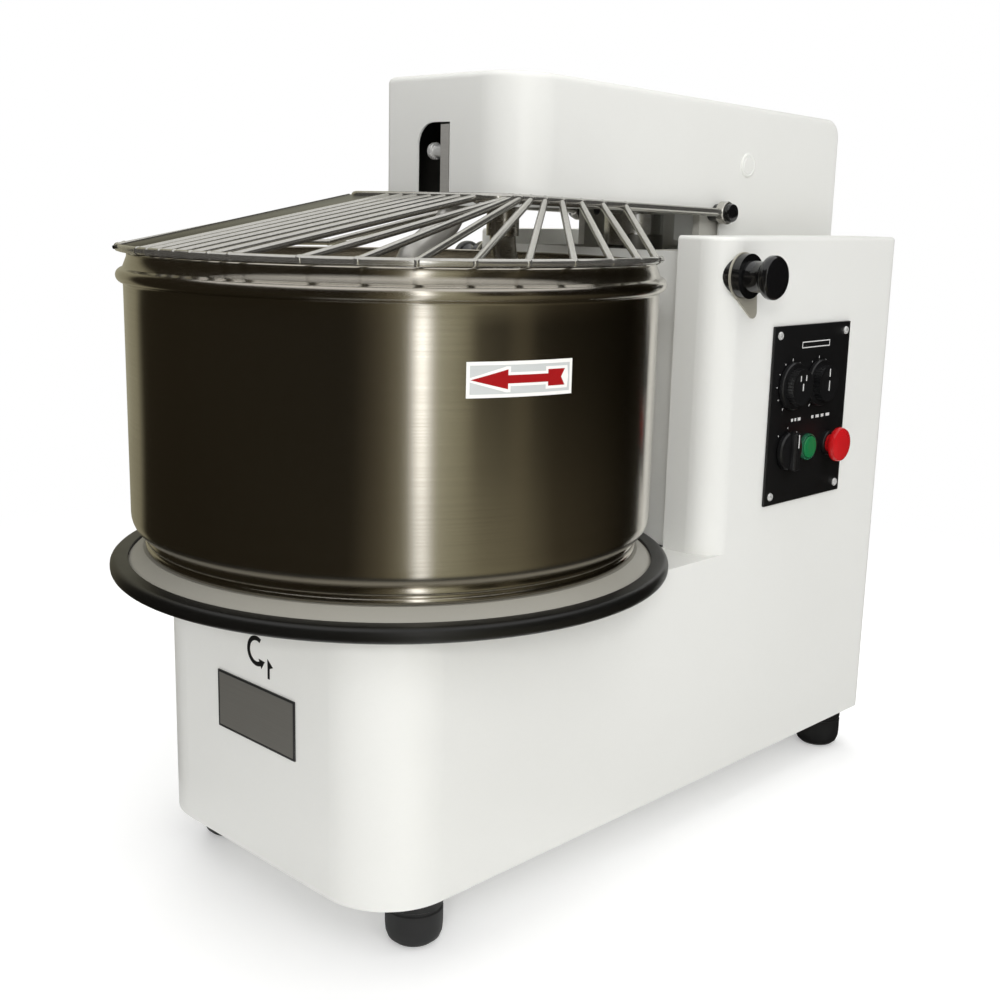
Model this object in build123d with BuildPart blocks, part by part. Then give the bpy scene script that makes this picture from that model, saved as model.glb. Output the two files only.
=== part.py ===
from build123d import *
from math import acos, cos, degrees, pi, radians, sin, sqrt
import os

os.makedirs("parts", exist_ok=True)

# Tilting-head spiral dough mixer with a bowl that lifts off.
# +Z up, -Y to the front, +X the side with the controls. Millimetres.

# Fits and gaps
running_fit = 0.1
press_gap = 0.05
seat_gap = 0.2
edge_gap = 0.3
swing_gap = 1.5
passing_hole = 3.0
cut_past = 1.0
weld_overlap = 1.0

# Stance: the front of the edge ring and the rear of the column lie equally far from the origin
bowl_radius = 225.0
ring_overhang = 19.0
ring_to_column = 6.0
column_depth = 314.0
bowl_to_front = 153.0
ring_radius = bowl_radius + ring_overhang
bowl_to_column = ring_radius + ring_to_column
bowl_to_rear = bowl_to_column + column_depth
bowl_y = (ring_radius - bowl_to_rear) / 2
base_front = bowl_y - bowl_to_front
column_front = bowl_y + bowl_to_column
column_rear = bowl_y + bowl_to_rear

# Painted sheet body: base box, column and its two cheeks
half_width = 163.5
foot_height = 45.0
base_height = 225.0
column_rise = 298.0
sheet = 2.0
front_corner = 63.0
column_corner = 28.0
rear_corner = 12.0
top_edge = 4.0
cheek_width = 53.5
cheek_wall = 128.0
well_depth = 98.0
front_return = 25.0
cheek_inner = half_width - cheek_width
base_bottom = foot_height
base_top = base_bottom + base_height
column_top = base_top + column_rise
cheek_wall_bottom = column_top - cheek_wall
deck_top = column_top - well_depth

# Feet, floor plate and covers
foot_radius = 24.0
foot_round = 12.0
foot_inset = 31.5
front_foot_inset = 63.0
rear_foot_inset = 35.0
floor_thickness = 3.0
floor_top = base_bottom + floor_thickness
gland_radius = 11.0
gland_height = 18.0
gland_bore = 4.0
gland_inset = 66.0
front_panel_recess = 8.0
front_panel_drop = 15.0
front_panel_y = column_front + front_panel_recess
rear_cover_half = 142.0
rear_cover_margin = 12.0
rear_cover_bottom = base_bottom + 25.0
rear_cover_top = deck_top - 10.0
vent_count = 7
vent_length = 120.0
vent_height = 6.0
vent_pitch = 18.0
cover_screw_radius = 5.0
cover_screw_height = 2.5
badge_left = -49.0
badge_right = 58.0
badge_bottom = base_bottom + 104.0
badge_height = 51.0
badge_thickness = 1.5

# Steel side frames that carry the hinge, the lock bushes, the motor and the main shaft
frame_thickness = 8.0
frame_x = cheek_inner + sheet
frame_outer = frame_x + frame_thickness
frame_front = column_front + 7.0
frame_rear = column_rear - 6.0
frame_leg = 114.0
frame_knee_rise = 155.0
frame_knee = base_bottom + frame_knee_rise
frame_top = column_top - 8.0

# Head hinge
hinge_inset = 84.0
hinge_drop = 38.0
hinge_radius = 12.5
hinge_tube_radius = 22.0
hinge_tube_gap = 6.0
hinge_cap_radius = 20.0
hinge_cap_width = 8.0
hinge_y = column_rear - hinge_inset
hinge_z = column_top - hinge_drop

# Spiral bar between the bowl's wall and the dough breaker bar
bowl_wall = 1.5
bar_radius = 12.0
bar_reach = 25.0
spiral_wall_gap = 8.5
spiral_bar_gap = 8.0
spiral_rod_radius = 12.0
spiral_far = bowl_radius - bowl_wall - spiral_wall_gap
spiral_near = bar_reach + bar_radius + spiral_bar_gap
spiral_radius = (spiral_far - spiral_near) / 2 - spiral_rod_radius
spiral_y = bowl_y + (spiral_far + spiral_near) / 2

# Head: folded casing over a welded frame
head_half = 84.0
head_ahead = 70.0
head_gap = 22.0
head_height = 112.0
head_fall = 13.0
head_corner = 45.0
head_left_corner = 8.0
head_rear_round = 20.0
head_fold = 6.0
head_sheet = 2.0
tail_setback = 100.0
tail_drop = 50.0
head_front = spiral_y - head_ahead
head_bottom = column_top + head_gap
head_top = head_bottom + head_height
head_rear_top = head_top - head_fall
tail_front = column_front + tail_setback
tail_bottom = head_bottom - tail_drop
head_plate_recess = 2.0
head_plate = 8.0
head_plate_bottom = head_bottom + head_plate_recess
head_plate_top = head_plate_bottom + head_plate
head_plate_past_tail = 15.0
head_web = 8.0
head_web_outer = 78.0
web_neck = tail_front - 25.0
web_hinge_radius = 28.0
plug_radius = 12.0
plug_thickness = 1.5
plug_y = tail_front + 43.0
plug_z = head_bottom + 46.0

# Slot in the front of the head and the dough breaker bar that hangs from it
slot_left = -40.0
slot_right = 0.0
slot_height = 71.0
slot_round = 20.0
tang_thickness = 10.0
tang_width = 28.0
tang_height = 69.0
bar_knee = 45.0
bar_bend = 22.0
bar_clearance = 18.0
bar_bolt_radius = 4.0
bar_bolt_shoulder = 5.5
bar_bolt_stand = 17.0
bar_bolt_head = 7.5
bar_bolt_head_height = 7.0
bar_bolt_drop = 22.0
bar_bolt_edge = 8.0
bar_nut_radius = 7.0
bar_bracket = 10.0
bar_nut_height = 8.0

# Turntable, edge ring and bowl
ring_clearance = 10.0
ring_height = 13.0
ring_width = 15.0
ring_round = 5.5
table_inset = 2.0
rim_thickness = 8.0
table_rise = 11.0
table_margin = 2.0
hub_radius = 45.0
hub_gap = 2.0
ring_bottom = base_top + ring_clearance
table_bottom = ring_bottom + table_inset
rim_top = table_bottom + rim_thickness
table_top = rim_top + table_rise
table_radius = ring_radius - ring_width - press_gap
bowl_foot_height = 11.0
bowl_corner = 20.0
bowl_height = 235.0
bowl_bead = 6.0
bowl_collar = 12.0
bowl_lip = 4.0
bowl_foot_inset = 11.0
bowl_foot_width = 8.0
bayonet_flange = 10.0
bayonet_flange_height = 2.5
bayonet_rise = 2.5
bayonet_count = 3
bayonet_turn = 15.0
keeper_width = 20.0
keeper_post = 8.0
keeper_hook = 3.0
notch_room = 3.0
bowl_bottom = table_top + seat_gap + bowl_foot_height
bowl_inside = bowl_bottom + bowl_wall
bowl_rim = bowl_bottom + bowl_height
bead_z = bowl_rim - bowl_collar - bowl_bead
foot_ring_outer = bowl_radius - bowl_foot_inset
foot_ring_inner = foot_ring_outer - bowl_foot_width
table_flat = foot_ring_outer + table_margin
flange_inner = foot_ring_inner - bayonet_flange
label_angle = -17.0
label_length = 88.0
label_height = 26.0
label_thickness = 0.4
label_rise = 157.0
label_z = bowl_bottom + label_rise

# Bowl spindle and its bearing housing
spindle_radius = 20.0
housing_radius = 52.0
housing_bore = 40.0
housing_flange = 80.0
housing_flange_height = 8.0
bowl_hub_radius = 38.0
spindle_bearing = 18.0

# Chains: roller chain on plain sprockets
chain_pitch = 9.525
roller_radius = 3.2
tooth_height = 3.0
sprocket_width = 5.0
link_gap = 0.8
link_plate = 1.5
link_depth = 2.9
link_outside = 3.5
chain_half = sprocket_width / 2 + link_gap + link_plate
bowl_pinion_teeth = 11
bowl_sprocket_teeth = 91
head_pinion_teeth = 18
spiral_teeth = 34
hub_width = 12.0
bowl_chain_z = floor_top + 44.0

# Main shaft, belt drive and motor
shaft_setback = 70.0
shaft_radius = 12.5
shaft_foot = 4.0
main_pulley_radius = 136.0
motor_pulley_radius = 20.0
belt_thickness = 8.0
belt_width = 16.0
groove_side = 1.0
groove_floor = 0.5
pulley_flange = 3.0
pulley_cheek = 4.0
pulley_web_holes = 6
pulley_hole_radius = 26.0
pulley_hole_circle = 82.0
belt_centres = 165.0
belt_z = floor_top + 84.0
shaft_y = column_front + shaft_setback
motor_y = shaft_y + belt_centres
motor_radius = 66.0
motor_end_radius = 65.0
motor_length = 190.0
motor_plate = 8.0
motor_plate_half_depth = 80.0
motor_end = 8.0
motor_fins = 28
motor_fin_depth = 6.0
motor_fin_width = 2.5
rotor_radius = 42.0
air_gap = 0.5
motor_shaft_radius = 9.5
fan_gap = 6.0
fan_radius = 54.0
fan_disc = 3.0
fan_blades = 6
fan_blade_height = 18.0
fan_blade_width = 3.0
fan_hub = 20.0
cowl_height = 46.0
cowl_sheet = 1.5
cowl_slots = 12
cowl_slot_width = 5.0
cowl_slot_length = 34.0
motor_plate_top = floor_top + 142.0
motor_top = motor_plate_top + motor_length

# Bearings of the main shaft and of the head
bearing_width = 12.0
bearing_outer = 26.0
block_radius = 34.0
block_flange = 46.0
block_flange_height = 10.0
block_height = 26.0
beam_depth = 80.0
beam_height = 12.0
beam_top = cheek_wall_bottom
head_housing_radius = 37.0
head_housing_height = 50.0
head_bearing_outer = 31.0
head_bearing_width = 16.0
head_bearing_inset = 1.0
head_chain_z = head_plate_top + 68.0
head_shaft_end = 16.0

# Tongue-and-slot clutch that parts when the head goes up
clutch_radius = 30.0
clutch_body = 20.0
clutch_tongue = 20.0
tongue_side_gap = 0.5
tongue_length = 11.0
tongue_floor_gap = 1.5
clutch_face_gap = 0.5
clutch_under_head = 6.0
clutch_socket = 17.0

# Spiral
spiral_shaft_radius = 15.0
spiral_turns = 1.25
spiral_clearance = 14.0
spiral_neck = 22.0
spiral_shoulder = 85.0

# Guard: wire cage over the open part of the bowl, pivoted on the head
guard_wire = 3.0
guard_rod = 4.0
guard_ring_outset = 3.0
guard_ring_rise = 1.0
guard_ring_start = 152.0
guard_ring_turn = 236.0
guard_arm_x = 94.0
guard_front_gap = 35.0
guard_front_rise = 8.0
guard_bend = 16.0
guard_front_wires = 7
guard_front_pitch = 18.0
guard_front_inset = 22.0
guard_flank_wires = 9
guard_flank_angle = -58.0
guard_flank_last = 4.0
guard_flank_gap = 60.0
guard_flank_crowding = 1.8
guard_plate_width = 46.0
guard_plate_thickness = 3.0
guard_plate_past = 2.0
guard_eye_radius = 11.0
guard_eye_side = 4.5
guard_pivot_setback = 94.0
guard_pivot_radius = 5.0
pivot_shoulder = 8.0
pivot_head = 9.0
pivot_head_height = 6.0
guard_pivot_y = column_front + guard_pivot_setback
guard_pivot_z = head_bottom - 1.0
guard_ring_radius = bowl_radius + guard_ring_outset
guard_ring_z = bowl_rim + guard_ring_rise + guard_wire
guard_front_y = head_front - guard_front_gap
guard_front_z = guard_pivot_z + guard_front_rise

# Lock plungers in the cheeks
lock_setback = 27.5
lock_drop = 35.0
lock_travel = 12.0
lock_pin_radius = 8.0
lock_boss_radius = 16.0
lock_boss_gap = 4.0
lock_foot_height = 41.0
bush_radius = 19.0
bush_flange_radius = 20.5
bush_flange = 8.0
lock_neck_radius = 15.0
lock_neck_shown = 20.0
lock_neck_inside = 6.0
lock_neck_room = 2.0
lock_cap_radius = 20.0
lock_cap_width = 9.0
pointer_thickness = 2.0
pointer_radius = 21.5
pointer_tip_radius = 6.0
pointer_tip_back = 19.0
pointer_tip_drop = 33.5
lock_y = column_front + lock_setback
lock_z = column_top - lock_drop
lock_boss_end = cheek_inner - lock_boss_gap
bush_face = half_width + pointer_thickness + bush_flange
bush_neck_bore = lock_neck_inside + lock_travel + lock_neck_room

# Control panel on the +X side
panel_thickness = 3.0
panel_width = 138.0
panel_height = 176.0
panel_margin = 12.0
panel_y = column_front + 154.0
panel_z = base_top + 126.0
panel_face = half_width + panel_thickness
panel_screw_inset = 9.0
panel_screw_radius = 4.0
panel_screw_height = 2.0
device_hole = 11.5
block_size = 32.0
block_depth = 34.0
stem_radius = 4.0
stem_depth = 20.0
knob_gap = 1.0
timer_radius = 23.5
timer_height = 13.0
timer_skirt = 5.0
timer_grip = 18.5
selector_radius = 19.0
selector_height = 13.0
selector_bar = 9.0
upper_row = 29.0
lower_row = -35.0
timer_left_y = panel_y - 35.0
timer_right_y = panel_y + 13.0
selector_y = panel_y - 36.0
start_y = panel_y + 0.5
stop_y = panel_y + 39.0
bezel_radius = 13.5
bezel_height = 4.0
start_radius = 11.0
start_proud = 1.5
start_travel = 3.0
stop_collar_radius = 12.5
stop_neck_radius = 9.0
stop_radius = 17.5
stop_head = 9.0
stop_travel = 5.0
stop_lift = 2.0


def plan(z, front, rear, half, front_round, rear_round):
    with BuildSketch(Plane.XY.offset(z)) as face:
        with Locations((0, (front + rear) / 2)):
            Rectangle(2 * half, rear - front)
        fillet(face.vertices().group_by(Axis.Y)[0], front_round)
        fillet(face.vertices().group_by(Axis.Y)[-1], rear_round)
    return face.sketch


def disc(z, y, outer, inner=0.0):
    with BuildSketch(Plane.XY.offset(z)) as face:
        with Locations((0, y)):
            Circle(outer)
            if inner > 0:
                Circle(inner, mode=Mode.SUBTRACT)
    return face.sketch


def side_disc(x, y, z, outer, inner=0.0):
    with BuildSketch(Plane.YZ.offset(x)) as face:
        with Locations((y, z)):
            Circle(outer)
            if inner > 0:
                Circle(inner, mode=Mode.SUBTRACT)
    return face.sketch


def slab(x, y, z, mode=Mode.ADD):
    with Locations(((x[0] + x[1]) / 2, (y[0] + y[1]) / 2, (z[0] + z[1]) / 2)):
        Box(x[1] - x[0], y[1] - y[0], z[1] - z[0], mode=mode)


def rod(start, end, radius):
    path = Vector(*end) - Vector(*start)
    with BuildSketch(Plane(origin=start, z_dir=path)) as face:
        Circle(radius)
    extrude(face.sketch, amount=path.length)


def pitch_radius(teeth):
    return chain_pitch / (2 * sin(pi / teeth))


def sprocket(z, y, teeth, hub, bore):
    radius = pitch_radius(teeth)
    with BuildSketch(Plane.XY.offset(z - sprocket_width / 2)) as face:
        with Locations((0, y)):
            Circle(radius + tooth_height)
            with PolarLocations(radius, teeth):
                Circle(roller_radius, mode=Mode.SUBTRACT)
    with BuildPart() as wheel:
        extrude(face.sketch, amount=sprocket_width)
        extrude(disc(z - hub_width / 2, y, hub), amount=hub_width)
        extrude(disc(z - hub_width, y, bore), amount=2 * hub_width, mode=Mode.SUBTRACT)
    return wheel.part


def loop_face(z, near_y, near_radius, far_y, far_radius):
    lean = acos((near_radius - far_radius) / (far_y - near_y))
    near = (near_radius * sin(lean), near_y + near_radius * cos(lean))
    far = (far_radius * sin(lean), far_y + far_radius * cos(lean))
    with BuildSketch(Plane.XY.offset(z)) as face:
        with BuildLine():
            Line(near, far)
            ThreePointArc(far, (0, far_y + far_radius), (-far[0], far[1]))
            Line((-far[0], far[1]), (-near[0], near[1]))
            ThreePointArc((-near[0], near[1]), (0, near_y - near_radius), near)
        make_face()
    return face.sketch


def chain_loop(z, near_y, near_teeth, far_y, far_teeth):
    near = pitch_radius(near_teeth)
    far = pitch_radius(far_teeth)
    tip = tooth_height + edge_gap
    inside = sprocket_width / 2 + link_gap
    with BuildPart() as chain:
        outer = tip + link_outside
        extrude(loop_face(z - chain_half, near_y, near + outer, far_y, far + outer), amount=2 * chain_half)
        extrude(
            loop_face(z - chain_half, near_y, near - link_depth, far_y, far - link_depth),
            amount=2 * chain_half,
            mode=Mode.SUBTRACT,
        )
        extrude(
            loop_face(z - inside, near_y, near + tip, far_y, far + tip),
            amount=2 * inside,
            mode=Mode.SUBTRACT,
        )
    return chain.part


def save(piece, name):
    piece.label = name
    export_step(piece, f"parts/{name}.step")


# Body shell
with BuildPart() as body_shell:
    extrude(
        plan(base_bottom, base_front, column_rear, half_width, front_corner, rear_corner),
        amount=base_height,
    )
    extrude(
        plan(base_bottom, column_front, column_rear, half_width, column_corner, rear_corner),
        amount=column_top - base_bottom,
    )
    fillet(body_shell.edges().group_by(Axis.Z)[-1], top_edge)
    inner_half = half_width - sheet
    inner_rear = column_rear - sheet
    inner_corner = rear_corner - sheet
    extrude(
        plan(base_bottom, base_front + sheet, inner_rear, inner_half, front_corner - sheet, inner_corner),
        amount=base_height - sheet,
        mode=Mode.SUBTRACT,
    )
    column_inside = plan(
        base_bottom, column_front + sheet, inner_rear, inner_half, column_corner - sheet, inner_corner
    )
    extrude(column_inside, amount=cheek_wall_bottom - base_bottom, mode=Mode.SUBTRACT)
    with BuildSketch(Plane.XY.offset(cheek_wall_bottom)) as cheek_inside:
        add(column_inside.moved(Location((0, 0, cheek_wall_bottom - base_bottom))))
        with Locations((0, (column_front + column_rear) / 2)):
            Rectangle(2 * frame_x, column_rear - column_front, mode=Mode.SUBTRACT)
    extrude(cheek_inside.sketch, amount=cheek_wall - sheet, mode=Mode.SUBTRACT)
    well = (-cheek_inner, cheek_inner)
    cut_front = column_front - cut_past
    cut_top = column_top + cut_past
    slab(well, (cut_front, inner_rear), (cheek_wall_bottom, cut_top), Mode.SUBTRACT)
    slab(well, (cut_front, column_rear + cut_past), (deck_top, cut_top), Mode.SUBTRACT)
    slab(well, (cut_front, column_front + sheet), (base_top, cheek_wall_bottom), Mode.SUBTRACT)
    for side in (1, -1):
        slab(
            sorted((side * cheek_inner, side * frame_x)),
            (column_front, column_front + front_return),
            (base_top - sheet, cheek_wall_bottom),
        )
    extrude(
        disc(base_top - 2 * sheet, bowl_y, housing_radius + press_gap), amount=3 * sheet, mode=Mode.SUBTRACT
    )
    slab(
        (half_width - 2 * sheet, half_width + sheet),
        (panel_y - panel_width / 2 + panel_margin, panel_y + panel_width / 2 - panel_margin),
        (panel_z - panel_height / 2 + panel_margin, panel_z + panel_height / 2 - panel_margin),
        Mode.SUBTRACT,
    )
    extrude(
        side_disc(-half_width, lock_y, lock_z, bush_radius + press_gap),
        amount=2 * half_width,
        mode=Mode.SUBTRACT,
    )
    extrude(
        side_disc(-frame_x, hinge_y, hinge_z, hinge_radius + press_gap),
        amount=2 * frame_x,
        mode=Mode.SUBTRACT,
    )
    slab(
        (-rear_cover_half + rear_cover_margin, rear_cover_half - rear_cover_margin),
        (column_rear - 2 * sheet, column_rear + sheet),
        (rear_cover_bottom + rear_cover_margin, rear_cover_top - rear_cover_margin),
        Mode.SUBTRACT,
    )
save(body_shell.part, "body_shell")

with BuildPart() as bottom_plate:
    lip = sheet + edge_gap
    extrude(
        plan(
            base_bottom,
            base_front + lip,
            column_rear - lip,
            half_width - lip,
            front_corner - lip,
            rear_corner - lip,
        ),
        amount=floor_thickness,
    )
    extrude(
        disc(base_bottom, column_rear - gland_inset, gland_bore), amount=floor_thickness, mode=Mode.SUBTRACT
    )
save(bottom_plate.part, "bottom_plate")

with BuildPart() as rubber_feet:
    foot_x = half_width - foot_inset
    feet_y = (base_front + front_foot_inset, column_rear - rear_foot_inset)
    with Locations(*[(side * foot_x, y) for side in (1, -1) for y in feet_y]):
        Cylinder(foot_radius, foot_height, align=(Align.CENTER, Align.CENTER, Align.MIN))
    fillet(rubber_feet.edges().group_by(Axis.Z)[0], foot_round)
save(rubber_feet.part, "rubber_feet")

with BuildPart() as cable_gland:
    gland_y = column_rear - gland_inset
    extrude(disc(base_bottom - gland_height, gland_y, gland_radius, gland_bore), amount=gland_height)
    fillet(cable_gland.edges().group_by(Axis.Z)[0].sort_by(SortBy.LENGTH)[-1], gland_bore)
save(cable_gland.part, "cable_gland")

with BuildPart() as column_front_panel:
    slab(
        (-cheek_inner + edge_gap, cheek_inner - edge_gap),
        (front_panel_y, front_panel_y + sheet),
        (base_top, column_top - front_panel_drop),
    )
save(column_front_panel.part, "column_front_panel")

with BuildPart() as column_deck:
    slab(
        (-cheek_inner + edge_gap, cheek_inner - edge_gap),
        (front_panel_y + sheet, column_rear - sheet),
        (deck_top - sheet, deck_top),
    )
    extrude(
        disc(deck_top - 2 * sheet, shaft_y, shaft_radius + passing_hole),
        amount=3 * sheet,
        mode=Mode.SUBTRACT,
    )
save(column_deck.part, "column_deck")

with BuildPart() as rear_cover:
    slab(
        (-rear_cover_half, rear_cover_half),
        (column_rear, column_rear + sheet),
        (rear_cover_bottom, rear_cover_top),
    )
    with BuildSketch(Plane.XZ.offset(-column_rear - sheet)) as vents:
        with Locations((0, (rear_cover_bottom + rear_cover_top) / 2)):
            with GridLocations(0, vent_pitch, 1, vent_count):
                SlotOverall(vent_length, vent_height)
    extrude(vents.sketch, amount=sheet, mode=Mode.SUBTRACT)
save(rear_cover.part, "rear_cover")

with BuildPart() as rear_cover_screws:
    cover_mid = (rear_cover_bottom + rear_cover_top) / 2
    screw_x = 2 * rear_cover_half - rear_cover_margin
    screw_z = rear_cover_top - rear_cover_bottom - rear_cover_margin
    with BuildSketch(Plane.XZ.offset(-column_rear - sheet)) as cover_heads:
        with Locations((0, cover_mid)):
            with GridLocations(screw_x, screw_z, 2, 2):
                Circle(cover_screw_radius)
    extrude(cover_heads.sketch, amount=-cover_screw_height)
save(rear_cover_screws.part, "rear_cover_screws")

with BuildPart() as badge_plate:
    slab(
        (badge_left, badge_right),
        (base_front - badge_thickness, base_front),
        (badge_bottom, badge_bottom + badge_height),
    )
save(badge_plate.part, "badge_plate")


# Side frames and hinge shaft
def side_frame(x):
    with BuildSketch(Plane.YZ.offset(x)) as face:
        with BuildLine():
            Polyline(
                (frame_rear - frame_leg, floor_top),
                (frame_rear, floor_top),
                (frame_rear, frame_top),
                (frame_front, frame_top),
                (frame_front, frame_knee),
                (frame_rear - frame_leg, frame_knee),
                close=True,
            )
        make_face()
        with Locations((lock_y, lock_z)):
            Circle(bush_radius + press_gap, mode=Mode.SUBTRACT)
        with Locations((hinge_y, hinge_z)):
            Circle(hinge_radius + press_gap, mode=Mode.SUBTRACT)
    with BuildPart() as frame:
        extrude(face.sketch, amount=frame_thickness)
    return frame.part


save(side_frame(frame_x), "side_frame_right")
save(side_frame(-frame_outer), "side_frame_left")

with BuildPart() as hinge_shaft:
    extrude(side_disc(-frame_outer, hinge_y, hinge_z, hinge_radius), amount=2 * frame_outer)
    for cap_x in (frame_outer, -frame_outer - hinge_cap_width):
        extrude(side_disc(cap_x, hinge_y, hinge_z, hinge_cap_radius), amount=hinge_cap_width)
save(hinge_shaft.part, "hinge_shaft")

# Bowl spindle housing
housing_bottom = bowl_chain_z + hub_width / 2 + hub_gap
housing_top = base_top + ring_clearance / 2
with BuildPart() as bowl_bearing_housing:
    extrude(
        disc(housing_bottom, bowl_y, housing_radius, housing_bore + running_fit),
        amount=housing_top - housing_bottom,
    )
    flange_foot = base_top - sheet - housing_flange_height
    extrude(
        disc(flange_foot, bowl_y, housing_flange, housing_radius - weld_overlap),
        amount=housing_flange_height,
    )
save(bowl_bearing_housing.part, "bowl_bearing_housing")

# Main shaft bearing block on the floor plate, and the beam between the side frames
with BuildPart() as main_bearing_block:
    extrude(disc(floor_top, shaft_y, block_flange), amount=block_flange_height)
    extrude(disc(floor_top, shaft_y, block_radius), amount=block_height)
    extrude(
        disc(floor_top + block_height - bearing_width, shaft_y, bearing_outer + press_gap),
        amount=bearing_width,
        mode=Mode.SUBTRACT,
    )
    extrude(disc(floor_top, shaft_y, shaft_radius + passing_hole), amount=block_height, mode=Mode.SUBTRACT)
save(main_bearing_block.part, "main_bearing_block")

with BuildPart() as shaft_beam:
    slab(
        (-frame_x, frame_x),
        (shaft_y - beam_depth / 2, shaft_y + beam_depth / 2),
        (beam_top - beam_height, beam_top),
    )
    extrude(
        disc(beam_top - beam_height, shaft_y, bearing_outer + press_gap),
        amount=beam_height,
        mode=Mode.SUBTRACT,
    )
save(shaft_beam.part, "shaft_beam")

with BuildPart() as base_bearings:
    for bearing_z in (housing_bottom, base_top - spindle_bearing):
        extrude(
            disc(bearing_z, bowl_y, housing_bore, spindle_radius + running_fit), amount=spindle_bearing
        )
    for bearing_z in (floor_top + block_height - bearing_width, beam_top - beam_height):
        extrude(disc(bearing_z, shaft_y, bearing_outer, shaft_radius + running_fit), amount=bearing_width)
save(base_bearings.part, "base_bearings")

# Motor
with BuildPart() as motor_bracket:
    slab(
        (-frame_x, frame_x),
        (motor_y - motor_plate_half_depth, frame_rear),
        (motor_plate_top - motor_plate, motor_plate_top),
    )
    extrude(
        disc(motor_plate_top - motor_plate, motor_y, motor_pulley_radius),
        amount=motor_plate,
        mode=Mode.SUBTRACT,
    )
save(motor_bracket.part, "motor_bracket")

motor_core = motor_length - 2 * motor_end
with BuildSketch(Plane.XY.offset(motor_plate_top + motor_end)) as finned_ring:
    with Locations((0, motor_y)):
        Circle(motor_radius - motor_fin_depth)
        with PolarLocations(motor_radius - motor_fin_depth / 2 - weld_overlap, motor_fins):
            Rectangle(motor_fin_depth, motor_fin_width)
        Circle(rotor_radius + air_gap, mode=Mode.SUBTRACT)
with BuildPart() as motor_housing:
    for end_z in (motor_plate_top, motor_top - motor_end):
        extrude(
            disc(end_z, motor_y, motor_end_radius, motor_shaft_radius + running_fit), amount=motor_end
        )
    extrude(finned_ring.sketch, amount=motor_core)
save(motor_housing.part, "motor_housing")

motor_shaft_bottom = belt_z - belt_width / 2 - groove_side - pulley_cheek
with BuildPart() as motor_rotor:
    fan_z = motor_top + fan_gap
    extrude(
        disc(motor_shaft_bottom, motor_y, motor_shaft_radius), amount=fan_z + fan_hub - motor_shaft_bottom
    )
    extrude(
        disc(motor_plate_top + motor_end + fan_gap, motor_y, rotor_radius), amount=motor_core - 2 * fan_gap
    )
    extrude(disc(fan_z, motor_y, fan_radius), amount=fan_disc)
    with BuildSketch(Plane.XY.offset(fan_z + fan_disc)) as blades:
        with Locations((0, motor_y)):
            with PolarLocations(fan_radius / 2, fan_blades):
                Rectangle(fan_radius - motor_shaft_radius, fan_blade_width)
    extrude(blades.sketch, amount=fan_blade_height)
save(motor_rotor.part, "motor_rotor")

with BuildPart() as motor_fan_cowl:
    extrude(disc(motor_top, motor_y, motor_end_radius), amount=cowl_height)
    extrude(
        disc(motor_top, motor_y, motor_end_radius - cowl_sheet),
        amount=cowl_height - cowl_sheet,
        mode=Mode.SUBTRACT,
    )
    with BuildSketch(Plane.XY.offset(motor_top + cowl_height - 2 * cowl_sheet)) as grille:
        with Locations((0, motor_y)):
            with PolarLocations(motor_radius / 2, cowl_slots):
                SlotOverall(cowl_slot_length, cowl_slot_width)
    extrude(grille.sketch, amount=3 * cowl_sheet, mode=Mode.SUBTRACT)
save(motor_fan_cowl.part, "motor_fan_cowl")


# Belt drive
def pulley(y, radius, bore):
    half = belt_width / 2 + groove_side + pulley_cheek
    groove = belt_width / 2 + groove_side
    with BuildPart() as wheel:
        extrude(disc(belt_z - half, y, radius + pulley_flange, bore), amount=2 * half)
        extrude(
            disc(belt_z - groove, y, radius + 2 * pulley_flange, radius - belt_thickness - groove_floor),
            amount=2 * groove,
            mode=Mode.SUBTRACT,
        )
    return wheel.part


save(pulley(motor_y, motor_pulley_radius, motor_shaft_radius + press_gap), "motor_pulley")

with BuildPart() as main_pulley:
    add(pulley(shaft_y, main_pulley_radius, shaft_radius + press_gap))
    with BuildSketch(Plane.XY.offset(belt_z - belt_width)) as web_holes:
        with Locations((0, shaft_y)):
            with PolarLocations(pulley_hole_circle, pulley_web_holes):
                Circle(pulley_hole_radius)
    extrude(web_holes.sketch, amount=2 * belt_width, mode=Mode.SUBTRACT)
save(main_pulley.part, "main_pulley")

with BuildPart() as drive_belt:
    belt_foot = belt_z - belt_width / 2
    extrude(
        loop_face(belt_foot, shaft_y, main_pulley_radius, motor_y, motor_pulley_radius), amount=belt_width
    )
    extrude(
        loop_face(
            belt_foot,
            shaft_y,
            main_pulley_radius - belt_thickness,
            motor_y,
            motor_pulley_radius - belt_thickness,
        ),
        amount=belt_width,
        mode=Mode.SUBTRACT,
    )
save(drive_belt.part, "drive_belt")

# Main shaft, bowl pinion and lower clutch half
clutch_top = head_plate_bottom - clutch_under_head - clutch_body - clutch_face_gap
slot_floor = clutch_top - tongue_length - tongue_floor_gap + clutch_face_gap
clutch_foot = slot_floor - clutch_socket
with BuildPart() as main_shaft:
    shaft_bottom = floor_top + shaft_foot
    extrude(disc(shaft_bottom, shaft_y, shaft_radius), amount=slot_floor - seat_gap - shaft_bottom)
save(main_shaft.part, "main_shaft")

pinion_hub = pitch_radius(bowl_pinion_teeth) - roller_radius
save(
    sprocket(bowl_chain_z, shaft_y, bowl_pinion_teeth, pinion_hub, shaft_radius + press_gap),
    "bowl_drive_sprocket",
)

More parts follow.
